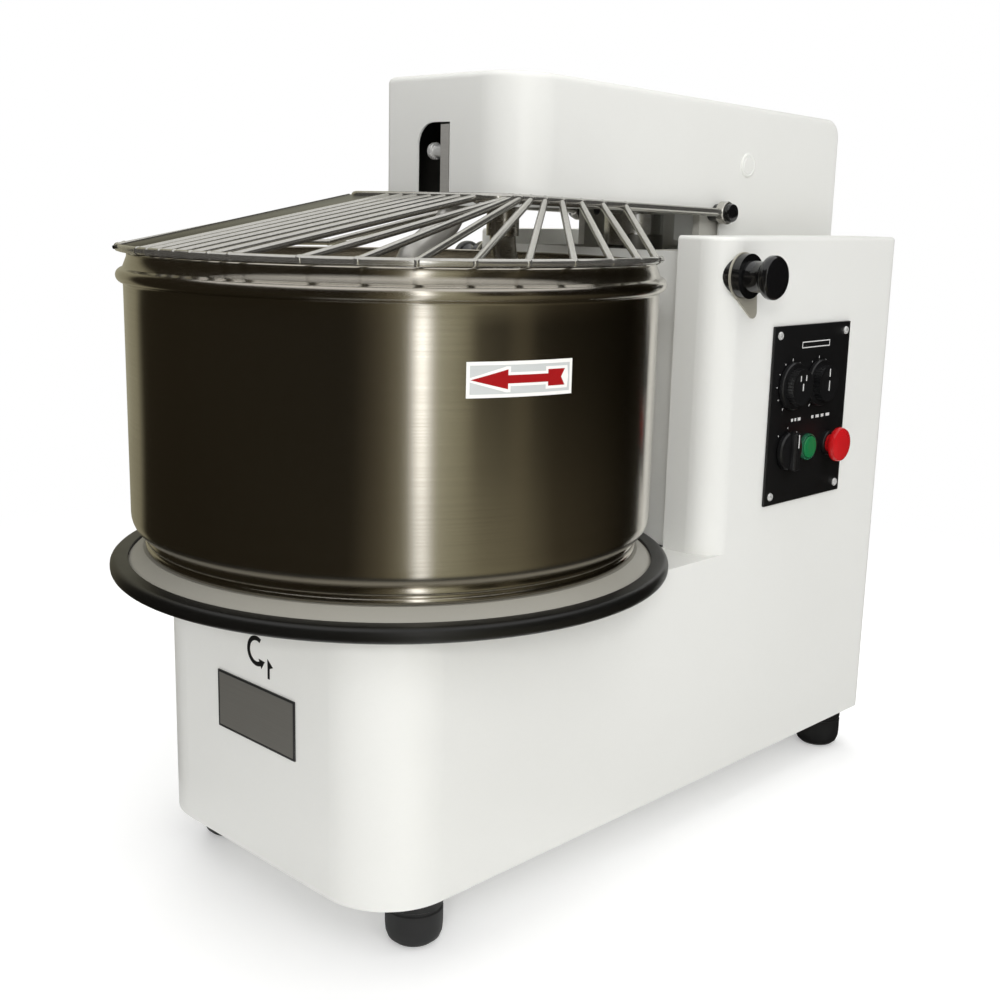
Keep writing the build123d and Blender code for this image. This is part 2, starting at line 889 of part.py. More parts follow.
with BuildPart() as clutch_lower:
    extrude(disc(clutch_foot, shaft_y, clutch_radius), amount=clutch_top - clutch_foot)
    slot_half = clutch_tongue / 2 + tongue_side_gap
    slab(
        (-slot_half, slot_half),
        (shaft_y - clutch_radius - cut_past, shaft_y + clutch_radius + cut_past),
        (slot_floor, clutch_top + cut_past),
        Mode.SUBTRACT,
    )
    extrude(
        disc(clutch_foot, shaft_y, shaft_radius + press_gap),
        amount=clutch_top - clutch_foot,
        mode=Mode.SUBTRACT,
    )
save(clutch_lower.part, "clutch_lower")

save(
    chain_loop(bowl_chain_z, bowl_y, bowl_sprocket_teeth, shaft_y, bowl_pinion_teeth),
    "bowl_chain",
)

# Turntable, its spindle and edge ring
hub_bottom = housing_top + hub_gap
keeper_foot = flange_inner - edge_gap - keeper_post
keeper_top = table_top + seat_gap + bayonet_rise + bayonet_flange_height + edge_gap
with BuildPart() as turntable:
    extrude(disc(table_bottom, bowl_y, table_radius), amount=rim_thickness)
    with Locations((0, bowl_y, rim_top)):
        Cone(table_radius, table_flat, table_rise, align=(Align.CENTER, Align.CENTER, Align.MIN))
    extrude(disc(hub_bottom, bowl_y, hub_radius), amount=table_bottom - hub_bottom)
    extrude(
        disc(hub_bottom, bowl_y, spindle_radius + press_gap),
        amount=table_top - hub_bottom,
        mode=Mode.SUBTRACT,
    )
    with Locations((0, bowl_y, table_top)):
        with PolarLocations(keeper_foot + keeper_post / 2, bayonet_count):
            Box(
                keeper_post,
                keeper_width,
                keeper_top + keeper_hook - table_top,
                align=(Align.CENTER, Align.CENTER, Align.MIN),
            )
    hook_reach = keeper_post + bayonet_flange - 2 * edge_gap
    with Locations((0, bowl_y, keeper_top)):
        with PolarLocations(keeper_foot + hook_reach / 2, bayonet_count):
            Box(hook_reach, keeper_width, keeper_hook, align=(Align.CENTER, Align.CENTER, Align.MIN))
save(turntable.part, "turntable")

with BuildPart() as turntable_trim:
    extrude(disc(ring_bottom, bowl_y, ring_radius, ring_radius - ring_width), amount=ring_height)
    fillet(turntable_trim.edges().filter_by(GeomType.CIRCLE).sort_by(SortBy.RADIUS)[-2:], ring_round)
save(turntable_trim.part, "turntable_trim")

with BuildPart() as bowl_spindle:
    spindle_bottom = bowl_chain_z - hub_width / 2
    extrude(disc(spindle_bottom, bowl_y, spindle_radius), amount=table_top - spindle_bottom)
save(bowl_spindle.part, "bowl_spindle")

save(
    sprocket(bowl_chain_z, bowl_y, bowl_sprocket_teeth, bowl_hub_radius, spindle_radius + press_gap),
    "bowl_sprocket",
)

# Bowl, turned about its axis, with a bayonet flange inside its foot ring
bowl_axis = Axis((0, bowl_y, 0), (0, 0, 1))
bowl_plane = Plane.XZ.offset(-bowl_y)
corner_start = bowl_radius - bowl_corner
inside_corner = bowl_corner - bowl_wall
with BuildPart() as bowl:
    with BuildSketch(bowl_plane):
        with BuildLine():
            Line((0, bowl_bottom), (corner_start, bowl_bottom))
            RadiusArc(
                (corner_start, bowl_bottom), (bowl_radius, bowl_bottom + bowl_corner), -bowl_corner
            )
            Line((bowl_radius, bowl_bottom + bowl_corner), (bowl_radius, bead_z - bowl_bead))
            ThreePointArc(
                (bowl_radius, bead_z - bowl_bead),
                (bowl_radius + bowl_bead, bead_z),
                (bowl_radius, bead_z + bowl_bead),
            )
            Line((bowl_radius, bead_z + bowl_bead), (bowl_radius - bowl_lip, bowl_rim))
            Line((bowl_radius - bowl_lip, bowl_rim), (bowl_radius - bowl_lip - bowl_wall, bowl_rim))
            Line(
                (bowl_radius - bowl_lip - bowl_wall, bowl_rim),
                (bowl_radius - bowl_wall, bead_z + bowl_bead),
            )
            Line(
                (bowl_radius - bowl_wall, bead_z + bowl_bead),
                (bowl_radius - bowl_wall, bowl_bottom + bowl_corner),
            )
            RadiusArc(
                (bowl_radius - bowl_wall, bowl_bottom + bowl_corner),
                (corner_start, bowl_inside),
                inside_corner,
            )
            Line((corner_start, bowl_inside), (0, bowl_inside))
            Line((0, bowl_inside), (0, bowl_bottom))
        make_face()
    revolve(axis=bowl_axis)

    def mid_wall(radius):
        middle = bowl_corner - bowl_wall / 2
        return bowl_bottom + bowl_corner - sqrt(middle**2 - (radius - corner_start) ** 2)

    foot_z = table_top + seat_gap
    flange_z = foot_z + bayonet_rise
    with BuildSketch(bowl_plane):
        with BuildLine():
            Polyline(
                (foot_ring_inner, foot_z),
                (foot_ring_outer, foot_z),
                (foot_ring_outer, mid_wall(foot_ring_outer)),
                (foot_ring_inner, mid_wall(foot_ring_inner)),
                (foot_ring_inner, flange_z + bayonet_flange_height),
                (flange_inner, flange_z + bayonet_flange_height),
                (flange_inner, flange_z),
                (foot_ring_inner, flange_z),
                close=True,
            )
        make_face()
    revolve(axis=bowl_axis)
    with Locations((0, bowl_y, flange_z)):
        with PolarLocations(foot_ring_inner - bayonet_flange / 2, bayonet_count, start_angle=bayonet_turn):
            Box(
                bayonet_flange - 2 * press_gap,
                keeper_width + 2 * notch_room,
                3 * bayonet_flange_height,
                mode=Mode.SUBTRACT,
            )
save(bowl.part, "bowl")

with BuildPart() as bowl_label:
    label_inner = bowl_radius + press_gap
    label_span = degrees(label_length / bowl_radius)
    label_start = radians(label_angle - label_span / 2)
    label_face = Plane(
        origin=(0, bowl_y, 0),
        x_dir=(cos(label_start), sin(label_start), 0),
        z_dir=(sin(label_start), -cos(label_start), 0),
    )
    with BuildSketch(label_face):
        with Locations((label_inner + label_thickness / 2, label_z)):
            Rectangle(label_thickness, label_height)
    revolve(axis=bowl_axis, revolution_arc=label_span)
save(bowl_label.part, "bowl_label")

# Head casing
with BuildPart() as head_casing:
    with BuildSketch(Plane.YZ.offset(-head_half)):
        with BuildLine():
            Polyline(
                (head_front, tail_bottom),
                (head_front, head_top),
                (column_rear, head_rear_top),
                (column_rear, tail_bottom),
                close=True,
            )
        make_face()
    extrude(amount=2 * head_half)
    for corner, radius in ((-1, head_corner), (0, head_left_corner)):
        front_edges = head_casing.edges().filter_by(Axis.Z).group_by(Axis.Y)[0]
        fillet(front_edges.sort_by(Axis.X)[corner], radius)
    cross_edges = head_casing.edges().filter_by(Axis.X)
    fillet(cross_edges.group_by(Axis.Y)[-1].sort_by(Axis.Z)[-1], head_rear_round)
    top_edges = head_casing.faces().sort_by(Axis.Z)[-1].edges()
    fillet(top_edges.sort_by(Axis.Y)[:-1], head_fold)
    offset(amount=-head_sheet, openings=head_casing.faces().sort_by(Axis.Z)[0])
    slab(
        (-head_half - cut_past, head_half + cut_past),
        (head_front - cut_past, tail_front),
        (tail_bottom - cut_past, head_bottom),
        Mode.SUBTRACT,
    )
    with BuildSketch(Plane.XZ.offset(-head_front + cut_past)) as slot:
        slot_edge = slot_right + swing_gap
        with Locations(((slot_left + slot_edge) / 2, head_bottom + slot_height / 2 - cut_past)):
            Rectangle(slot_edge - slot_left, slot_height + 2 * cut_past)
        fillet(slot.vertices().group_by(Axis.Y)[-1].sort_by(Axis.X)[0], slot_round)
    extrude(slot.sketch, amount=-2 * head_sheet - 2 * cut_past, mode=Mode.SUBTRACT)
    extrude(
        side_disc(-head_half, hinge_y, hinge_z, hinge_tube_radius + swing_gap),
        amount=2 * head_half,
        mode=Mode.SUBTRACT,
    )
    extrude(
        side_disc(-head_half, guard_pivot_y, guard_pivot_z, pivot_shoulder + edge_gap),
        amount=2 * head_half,
        mode=Mode.SUBTRACT,
    )
save(head_casing.part, "head_casing")

with BuildPart() as head_plugs:
    for plug_x in (head_half, -head_half - plug_thickness):
        extrude(side_disc(plug_x, plug_y, plug_z, plug_radius), amount=plug_thickness)
save(head_plugs.part, "head_plugs")

# Head frame: plate, two webs down to the hinge tube, lock bosses and the breaker bracket
web_inner = head_web_outer - head_web
bolt_z = head_bottom + tang_height - bar_bolt_drop
lock_foot_bottom = lock_z - lock_foot_height / 2
bracket_front = head_front + head_sheet + swing_gap
tang_rear = bracket_front + tang_width
bar_x = slot_right - bar_radius
bar_y = tang_rear - tang_width / 2
bolt_y = bracket_front + bar_bolt_edge
with BuildPart() as head_frame:
    inset = head_sheet + edge_gap
    extrude(
        plan(
            head_plate_bottom,
            head_front + inset,
            tail_front + head_plate_past_tail,
            head_half - inset,
            head_corner - inset,
            head_sheet,
        ),
        amount=head_plate,
    )
    slab(
        (slot_left, slot_right + swing_gap),
        (head_front, tang_rear + swing_gap),
        (head_plate_bottom - cut_past, head_plate_top + cut_past),
        Mode.SUBTRACT,
    )
    for web_x in (web_inner, -head_web_outer):
        with BuildSketch(Plane.YZ.offset(web_x)) as web:
            with BuildLine():
                Polyline(
                    (lock_y - lock_boss_radius + swing_gap, lock_foot_bottom),
                    (hinge_y, hinge_z - web_hinge_radius),
                    (hinge_y, hinge_z),
                    (hinge_y, head_plate_top),
                    (web_neck, head_plate_top),
                    (web_neck, lock_foot_bottom + lock_foot_height),
                    (lock_y - lock_boss_radius + swing_gap, lock_foot_bottom + lock_foot_height),
                    close=True,
                )
            make_face()
            with Locations((hinge_y, hinge_z)):
                Circle(web_hinge_radius)
        extrude(web.sketch, amount=head_web)
    tube_half = cheek_inner - hinge_tube_gap
    extrude(side_disc(-tube_half, hinge_y, hinge_z, hinge_tube_radius), amount=2 * tube_half)
    extrude(
        side_disc(-tube_half, hinge_y, hinge_z, hinge_radius + running_fit),
        amount=2 * tube_half,
        mode=Mode.SUBTRACT,
    )
    for boss_x in (head_web_outer, -lock_boss_end):
        extrude(
            side_disc(boss_x, lock_y, lock_z, lock_boss_radius), amount=lock_boss_end - head_web_outer
        )
    extrude(
        side_disc(-lock_boss_end, lock_y, lock_z, lock_pin_radius + edge_gap),
        amount=2 * lock_boss_end,
        mode=Mode.SUBTRACT,
    )
    extrude(
        side_disc(-head_web_outer, guard_pivot_y, guard_pivot_z, guard_pivot_radius + press_gap),
        amount=2 * head_web_outer,
        mode=Mode.SUBTRACT,
    )
    for shoulder_x in (head_web_outer, -head_half):
        extrude(
            side_disc(shoulder_x, guard_pivot_y, guard_pivot_z, pivot_shoulder + edge_gap),
            amount=head_half - head_web_outer,
            mode=Mode.SUBTRACT,
        )
    for axis_y, hole in ((spiral_y, spiral_shaft_radius), (shaft_y, shaft_radius)):
        extrude(
            disc(head_plate_bottom, axis_y, hole + passing_hole), amount=head_plate, mode=Mode.SUBTRACT
        )
    slab(
        (slot_right, slot_right + bar_bracket),
        (bracket_front, tang_rear),
        (head_plate_bottom + head_plate / 2, head_bottom + tang_height),
    )
    extrude(
        side_disc(slot_right, bolt_y, bolt_z, bar_bolt_radius + running_fit),
        amount=bar_bracket,
        mode=Mode.SUBTRACT,
    )
save(head_frame.part, "head_frame")

# Dough breaker bar and its bolt
bar_foot = bowl_inside + bar_clearance
bar_low_y = bowl_y + bar_reach
with BuildPart() as breaker_bar:
    slab(
        (slot_right - tang_thickness, slot_right),
        (head_front, tang_rear),
        (head_bottom, head_bottom + tang_height),
    )
    with BuildLine(Plane.YZ.offset(bar_x)) as bar_path:
        FilletPolyline(
            (bar_y, head_plate_top),
            (bar_y, head_bottom - bar_radius),
            (bar_low_y, head_bottom - bar_knee),
            (bar_low_y, bar_foot),
            radius=bar_bend,
        )
    with BuildSketch(Plane((bar_x, bar_y, head_plate_top), z_dir=(0, 0, -1))):
        Circle(bar_radius)
    sweep(path=bar_path.wires()[0])
    extrude(
        side_disc(slot_right - tang_thickness, bolt_y, bolt_z, bar_bolt_radius + running_fit),
        amount=tang_thickness,
        mode=Mode.SUBTRACT,
    )
save(breaker_bar.part, "breaker_bar")

with BuildPart() as breaker_bolt:
    seat_x = slot_right - tang_thickness
    head_x = seat_x - bar_bolt_stand
    extrude(
        side_disc(head_x, bolt_y, bolt_z, bar_bolt_radius),
        amount=bar_bolt_stand + tang_thickness + bar_bracket + bar_nut_height,
    )
    extrude(side_disc(head_x, bolt_y, bolt_z, bar_bolt_shoulder), amount=bar_bolt_stand)
    extrude(
        side_disc(head_x - bar_bolt_head_height, bolt_y, bolt_z, bar_bolt_head),
        amount=bar_bolt_head_height,
    )
    fillet(breaker_bolt.edges().group_by(Axis.X)[0], bar_bolt_head_height / 2)
    with BuildSketch(Plane.YZ.offset(slot_right + bar_bracket)) as nut:
        with Locations((bolt_y, bolt_z)):
            RegularPolygon(bar_nut_radius, 6)
    extrude(nut.sketch, amount=bar_nut_height)
save(breaker_bolt.part, "breaker_bolt")

# Head drive: bearing housings, bearings, sprockets, chain and shafts
with BuildPart() as head_bearing_housings:
    for axis_y in (spiral_y, shaft_y):
        extrude(
            disc(head_plate_top, axis_y, head_housing_radius, head_bearing_outer + press_gap),
            amount=head_housing_height,
        )
save(head_bearing_housings.part, "head_bearing_housings")

with BuildPart() as head_bearings:
    upper_bearing = head_plate_top + head_housing_height - head_bearing_width - head_bearing_inset
    for axis_y, bore in ((spiral_y, spiral_shaft_radius), (shaft_y, shaft_radius)):
        for bearing_z in (head_plate_top, upper_bearing):
            extrude(
                disc(bearing_z, axis_y, head_bearing_outer, bore + running_fit), amount=head_bearing_width
            )
save(head_bearings.part, "head_bearings")

save(chain_loop(head_chain_z, spiral_y, spiral_teeth, shaft_y, head_pinion_teeth), "head_chain")

pinion_hub = pitch_radius(head_pinion_teeth) - roller_radius - tooth_height
save(
    sprocket(head_chain_z, shaft_y, head_pinion_teeth, pinion_hub, shaft_radius + press_gap),
    "head_drive_sprocket",
)
save(
    sprocket(head_chain_z, spiral_y, spiral_teeth, head_bearing_outer, spiral_shaft_radius + press_gap),
    "spiral_sprocket",
)

with BuildPart() as head_drive_shaft:
    upper_foot = clutch_top + clutch_face_gap
    extrude(disc(upper_foot, shaft_y, clutch_radius), amount=clutch_body)
    extrude(
        disc(upper_foot, shaft_y, shaft_radius), amount=head_chain_z + head_shaft_end - upper_foot
    )
    with BuildSketch(Plane.XY.offset(upper_foot - tongue_length)) as tongue:
        with Locations((0, shaft_y)):
            Circle(clutch_radius)
            Rectangle(clutch_tongue, 2 * clutch_radius, mode=Mode.INTERSECT)
    extrude(tongue.sketch, amount=tongue_length)
save(head_drive_shaft.part, "head_drive_shaft")


# Spiral: a round bar on arcs that leaves the shaft and runs down one and a quarter turns
def helix_point(turn, start_z, end_z):
    angle = 2 * pi * turn * spiral_turns
    point = Vector(
        spiral_radius * cos(angle),
        spiral_y + spiral_radius * sin(angle),
        start_z + (end_z - start_z) * turn,
    )
    climb = (end_z - start_z) / (2 * pi * spiral_turns)
    heading = Vector(-spiral_radius * sin(angle), spiral_radius * cos(angle), climb).normalized()
    return point, heading


def double_arc(start, start_heading, end, end_heading):
    chord = end - start
    headings = start_heading + end_heading
    spread = 2 * (1 - start_heading.dot(end_heading))
    along = chord.dot(headings)
    reach = (sqrt(along**2 + spread * chord.dot(chord)) - along) / spread
    start_corner = start + start_heading * reach
    end_corner = end - end_heading * reach
    middle = (start_corner + end_corner) * 0.5
    TangentArc(start, middle, tangent=start_heading)
    TangentArc(middle, end, tangent=(end_corner - start_corner).normalized())


spiral_top = head_chain_z + head_shaft_end
spiral_start = Vector(0, spiral_y, head_plate_bottom - spiral_neck)
helix_top = head_plate_bottom - spiral_shoulder
helix_bottom = bowl_inside + spiral_clearance + spiral_rod_radius
quarters = round(4 * spiral_turns)
with BuildPart() as spiral_tool:
    with BuildLine() as spiral_path:
        last_point, last_heading = spiral_start, Vector(0, 0, -1)
        for quarter in range(quarters + 1):
            point, heading = helix_point(quarter / quarters, helix_top, helix_bottom)
            double_arc(last_point, last_heading, point, heading)
            last_point, last_heading = point, heading
    with BuildSketch(Plane(origin=spiral_start, z_dir=(0, 0, -1))):
        Circle(spiral_rod_radius)
    sweep(path=spiral_path.wires()[0])
    shaft_end = spiral_start.Z - spiral_rod_radius / 2
    extrude(disc(shaft_end, spiral_y, spiral_shaft_radius), amount=spiral_top - shaft_end)
save(spiral_tool.part, "spiral_tool")


# Guard
def ring_point(angle):
    turn = radians(angle)
    return (guard_ring_radius * cos(turn), bowl_y + guard_ring_radius * sin(turn), guard_ring_z)


def ring_front(x):
    return (x, bowl_y - sqrt(guard_ring_radius**2 - x**2), guard_ring_z)


def arm_point(side, y):
    share = (guard_pivot_y - y) / (guard_pivot_y - guard_front_y)
    return (side * guard_arm_x, y, guard_pivot_z + guard_front_rise * share)


ring_end = guard_ring_start + guard_ring_turn - 360
eye_middle = (guard_eye_radius + guard_pivot_radius + edge_gap) / 2
with BuildPart() as guard:
    with BuildLine() as frame_path:
        FilletPolyline(
            arm_point(1, guard_pivot_y - eye_middle),
            arm_point(1, guard_front_y),
            arm_point(-1, guard_front_y),
            arm_point(-1, guard_pivot_y - eye_middle),
            radius=guard_bend,
        )
    with BuildSketch(Plane(frame_path.wires()[0] @ 0, z_dir=frame_path.wires()[0] % 0)):
        Circle(guard_rod)
    sweep(path=frame_path.wires()[0])
    start = radians(guard_ring_start)
    ring_plane = Plane(
        origin=(0, bowl_y, 0), x_dir=(cos(start), sin(start), 0), z_dir=(sin(start), -cos(start), 0)
    )
    with BuildSketch(ring_plane):
        with Locations((guard_ring_radius, guard_ring_z)):
            Circle(guard_wire)
    revolve(axis=bowl_axis, revolution_arc=guard_ring_turn)
    for index in range(guard_front_wires):
        wire_x = guard_arm_x - guard_front_inset - index * guard_front_pitch
        rod((wire_x, guard_front_y, guard_front_z), ring_front(wire_x), guard_wire)
    flank_start = guard_front_y + guard_bend
    flank_end = column_front - guard_flank_gap
    flank_turn = ring_end - guard_flank_last - guard_flank_angle
    for index in range(guard_flank_wires):
        share = index / (guard_flank_wires - 1)
        arm_y = flank_start + (flank_end - flank_start) * share**guard_flank_crowding
        low = ring_point(guard_flank_angle + flank_turn * share)
        rod(arm_point(1, arm_y), low, guard_wire)
        rod(arm_point(-1, arm_y), (-low[0], low[1], low[2]), guard_wire)
    plate_x = guard_plate_width / 2 - guard_arm_x
    plate_high = Vector(plate_x, guard_front_y, guard_front_z)
    plate_run = plate_high - Vector(*ring_front(plate_x))
    plate_length = plate_run.length + guard_plate_past
    plate_low = plate_high - plate_run.normalized() * plate_length
    with BuildSketch(Plane(origin=plate_low, x_dir=(1, 0, 0), z_dir=plate_run)) as plate:
        Rectangle(guard_plate_width, guard_plate_thickness)
    extrude(plate.sketch, amount=plate_length)
    for eye_x in (guard_arm_x - guard_eye_side, -guard_arm_x - guard_eye_side):
        extrude(
            side_disc(eye_x, guard_pivot_y, guard_pivot_z, guard_eye_radius, guard_pivot_radius + edge_gap),
            amount=2 * guard_eye_side,
        )
save(guard.part, "guard")

with BuildPart() as guard_pivot_bolts:
    eye_inner = guard_arm_x - guard_eye_side - edge_gap
    eye_outer = guard_arm_x + guard_eye_side + edge_gap
    extrude(
        side_disc(web_inner, guard_pivot_y, guard_pivot_z, guard_pivot_radius), amount=eye_outer - web_inner
    )
    extrude(
        side_disc(head_web_outer, guard_pivot_y, guard_pivot_z, pivot_shoulder),
        amount=eye_inner - head_web_outer,
    )
    extrude(side_disc(eye_outer, guard_pivot_y, guard_pivot_z, pivot_head), amount=pivot_head_height)
    mirror(about=Plane.YZ)
save(guard_pivot_bolts.part, "guard_pivot_bolts")

# Lock plungers: bush, pointer plate, and the knob with its pin
with BuildPart() as lock_bushes:
    extrude(side_disc(cheek_inner, lock_y, lock_z, bush_radius), amount=bush_face - cheek_inner)
    extrude(
        side_disc(half_width + pointer_thickness, lock_y, lock_z, bush_flange_radius), amount=bush_flange
    )
    extrude(
        side_disc(cheek_inner, lock_y, lock_z, lock_pin_radius + running_fit),
        amount=bush_face - cheek_inner,
        mode=Mode.SUBTRACT,
    )
    extrude(
        side_disc(bush_face - bush_neck_bore, lock_y, lock_z, lock_neck_radius + edge_gap),
        amount=bush_neck_bore,
        mode=Mode.SUBTRACT,
    )
    mirror(about=Plane.YZ)
save(lock_bushes.part, "lock_bushes")

with BuildPart() as lock_pointers:
    with BuildSketch(Plane.YZ.offset(half_width)) as pointer:
        with Locations((lock_y, lock_z)):
            Circle(pointer_radius)
        with Locations((lock_y + pointer_tip_back, lock_z - pointer_tip_drop)):
            Circle(pointer_tip_radius)
        make_hull()
        with Locations((lock_y, lock_z)):
            Circle(bush_radius + press_gap, mode=Mode.SUBTRACT)
    extrude(pointer.sketch, amount=pointer_thickness)
    mirror(about=Plane.YZ)
save(lock_pointers.part, "lock_pointers")

with BuildPart() as lock_knob_right:
    neck_end = bush_face + lock_neck_shown
    neck_start = bush_face - lock_neck_inside
    extrude(side_disc(neck_end, lock_y, lock_z, lock_cap_radius), amount=lock_cap_width)
    fillet(lock_knob_right.edges().filter_by(GeomType.CIRCLE), lock_cap_width / 4)
    extrude(side_disc(neck_start, lock_y, lock_z, lock_neck_radius), amount=neck_end - neck_start)
    extrude(side_disc(cheek_inner, lock_y, lock_z, lock_pin_radius), amount=neck_start - cheek_inner)
save(lock_knob_right.part, "lock_knob_right")

with BuildPart() as lock_knob_left:
    mirror(lock_knob_right.part, about=Plane.YZ)
save(lock_knob_left.part, "lock_knob_left")

# Control panel and its devices
devices = {
    "timer_left": (timer_left_y, panel_z + upper_row),
    "timer_right": (timer_right_y, panel_z + upper_row),
    "selector": (selector_y, panel_z + lower_row),
    "start": (start_y, panel_z + lower_row),
    "stop": (stop_y, panel_z + lower_row),
}
screw_span = (panel_width - 2 * panel_screw_inset, panel_height - 2 * panel_screw_inset)

with BuildPart() as control_panel:
    with BuildSketch(Plane.YZ.offset(half_width)) as panel:
        with Locations((panel_y, panel_z)):
            Rectangle(panel_width, panel_height)
        with Locations(*devices.values()):
            Circle(device_hole, mode=Mode.SUBTRACT)
    extrude(panel.sketch, amount=panel_thickness)
save(control_panel.part, "control_panel")

with BuildPart() as panel_screws:
    with BuildSketch(Plane.YZ.offset(panel_face)) as screw_heads:
        with Locations((panel_y, panel_z)):
            with GridLocations(*screw_span, 2, 2):
                Circle(panel_screw_radius)
    extrude(screw_heads.sketch, amount=panel_screw_height)
save(panel_screws.part, "panel_screws")

with BuildPart() as switch_bodies:
    for device_y, device_z in devices.values():
        slab(
            (half_width - block_depth, half_width),
            (device_y - block_size / 2, device_y + block_size / 2),
            (device_z - block_size / 2, device_z + block_size / 2),
        )
        extrude(
            side_disc(half_width - block_depth, device_y, device_z, stem_radius + edge_gap),
            amount=block_depth,
            mode=Mode.SUBTRACT,
        )
    for name, radius, bore in (
        ("start", bezel_radius, start_radius + edge_gap),
        ("stop", stop_collar_radius, stop_neck_radius + edge_gap),
    ):
        extrude(side_disc(panel_face, *devices[name], radius, bore), amount=bezel_height)
save(switch_bodies.part, "switch_bodies")


def stem(place, end_x):
    start_x = half_width - stem_depth
    extrude(side_disc(start_x, *place, stem_radius), amount=end_x - start_x)


def pressed_back(travel):
    return half_width + edge_gap + travel


knob_back = panel_face + knob_gap


def timer_knob(place):
    with BuildPart() as knob:
        stem(place, knob_back)
        extrude(side_disc(knob_back, *place, timer_radius), amount=timer_skirt)
        extrude(side_disc(knob_back + timer_skirt, *place, timer_grip), amount=timer_height - timer_skirt)
    return knob.part


save(timer_knob(devices["timer_left"]), "timer_knob_left")
save(timer_knob(devices["timer_right"]), "timer_knob_right")

with BuildPart() as selector_knob:
    place = devices["selector"]
    stem(place, knob_back)
    extrude(side_disc(knob_back, *place, selector_radius), amount=selector_height / 2)
    slab(
        (knob_back, knob_back + selector_height),
        (place[0] - selector_bar / 2, place[0] + selector_bar / 2),
        (place[1] - selector_radius, place[1] + selector_radius),
    )
save(selector_knob.part, "selector_knob")

with BuildPart() as start_button:
    button_back = pressed_back(start_travel)
    stem(devices["start"], button_back)
    extrude(
        side_disc(button_back, *devices["start"], start_radius),
        amount=panel_face + bezel_height + start_proud - button_back,
    )
save(start_button.part, "start_button")

with BuildPart() as stop_button:
    button_back = pressed_back(stop_travel)
    stem(devices["stop"], button_back)
    head_back = panel_face + bezel_height + stop_travel + stop_lift
    extrude(side_disc(button_back, *devices["stop"], stop_neck_radius), amount=head_back - button_back)
    extrude(side_disc(head_back, *devices["stop"], stop_radius), amount=stop_head)
    fillet(stop_button.edges().group_by(Axis.X)[-1], stop_head / 3)
save(stop_button.part, "stop_button")
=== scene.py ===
import math

import bmesh
import bpy
from mathutils import Matrix, Vector


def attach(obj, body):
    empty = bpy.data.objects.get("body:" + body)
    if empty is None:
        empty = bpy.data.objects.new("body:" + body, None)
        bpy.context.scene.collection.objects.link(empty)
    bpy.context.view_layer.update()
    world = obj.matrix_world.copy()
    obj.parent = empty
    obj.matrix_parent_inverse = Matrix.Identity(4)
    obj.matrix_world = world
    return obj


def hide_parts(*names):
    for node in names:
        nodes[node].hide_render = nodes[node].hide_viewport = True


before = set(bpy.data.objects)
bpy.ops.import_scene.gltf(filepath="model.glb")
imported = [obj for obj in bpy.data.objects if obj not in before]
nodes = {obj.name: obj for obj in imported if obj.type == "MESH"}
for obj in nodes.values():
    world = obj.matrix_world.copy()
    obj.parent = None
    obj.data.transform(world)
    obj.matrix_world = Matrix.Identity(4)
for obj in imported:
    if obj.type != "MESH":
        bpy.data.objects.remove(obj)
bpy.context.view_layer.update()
scene = bpy.context.scene
fullTurn = 2 * math.pi
mm = 0.001
upAxis = Vector((0, 0, 1))
outX = (1, 0, 0)
outY = (0, 1, 0)
finishes = {}


# meshes
def turnTo(axis, centre):
    turn = upAxis.rotation_difference(Vector(axis)).to_matrix().to_4x4()
    return Matrix.Translation(centre) @ turn


# a finished piece at the origin, tied to its body
def putOut(bm, name, body, *looks, slot, stands=(), sharpAt=35):
    bmesh.ops.remove_doubles(bm, verts=bm.verts[:], dist=1e-6)
    bmesh.ops.recalc_face_normals(bm, faces=bm.faces[:])
    mesh = bpy.data.meshes.new(name)
    bm.to_mesh(mesh)
    bm.free()
    mesh.polygons.foreach_set("use_smooth", [True] * len(mesh.polygons))
    mesh.set_sharp_from_angle(angle=math.radians(sharpAt))
    for look in looks:
        mesh.materials.append(finishes[look])
    piece = bpy.data.objects.new(name, mesh)
    scene.collection.objects.link(piece)
    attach(piece, body)
    if stands:
        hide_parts(*stands)


def addTo(bm, other):
    mesh = bpy.data.meshes.new("joined")
    other.to_mesh(mesh)
    other.free()
    bm.from_mesh(mesh)
    bpy.data.meshes.remove(mesh)


def everything(bm):
    return bm.verts[:] + bm.edges[:] + bm.faces[:]


# outline in mm as (radius, along), spun round the axis
def turned(outline, centre, axis=(0, 0, 1), steps=48, closed=False, arc=fullTurn, start=0.0):
    bm = bmesh.new()
    ring = [bm.verts.new((radius * mm, 0, along * mm)) for radius, along in outline]
    edges = [bm.edges.new(pair) for pair in zip(ring, ring[1:])]
    if closed:
        edges.append(bm.edges.new((ring[-1], ring[0])))
    bmesh.ops.rotate(bm, verts=ring, cent=(0, 0, 0), matrix=Matrix.Rotation(start, 3, "Z"))
    whole = arc == fullTurn
    bmesh.ops.spin(bm, geom=ring + edges, cent=(0, 0, 0), axis=(0, 0, 1), angle=arc, steps=steps,
                   use_merge=whole)
    bmesh.ops.remove_doubles(bm, verts=bm.verts[:], dist=1e-7)
    if closed and not whole:
        bmesh.ops.holes_fill(bm, edges=[e for e in bm.edges if e.is_boundary], sides=0)
    bmesh.ops.transform(bm, matrix=turnTo(axis, Vector(centre) * mm), verts=bm.verts[:])
    return bm


def arcPoints(middle, size, first, last, count):
    angles = [math.radians(first + (last - first) * i / count) for i in range(count + 1)]
    return [(middle[0] + size * math.cos(a), middle[1] + size * math.sin(a)) for a in angles]


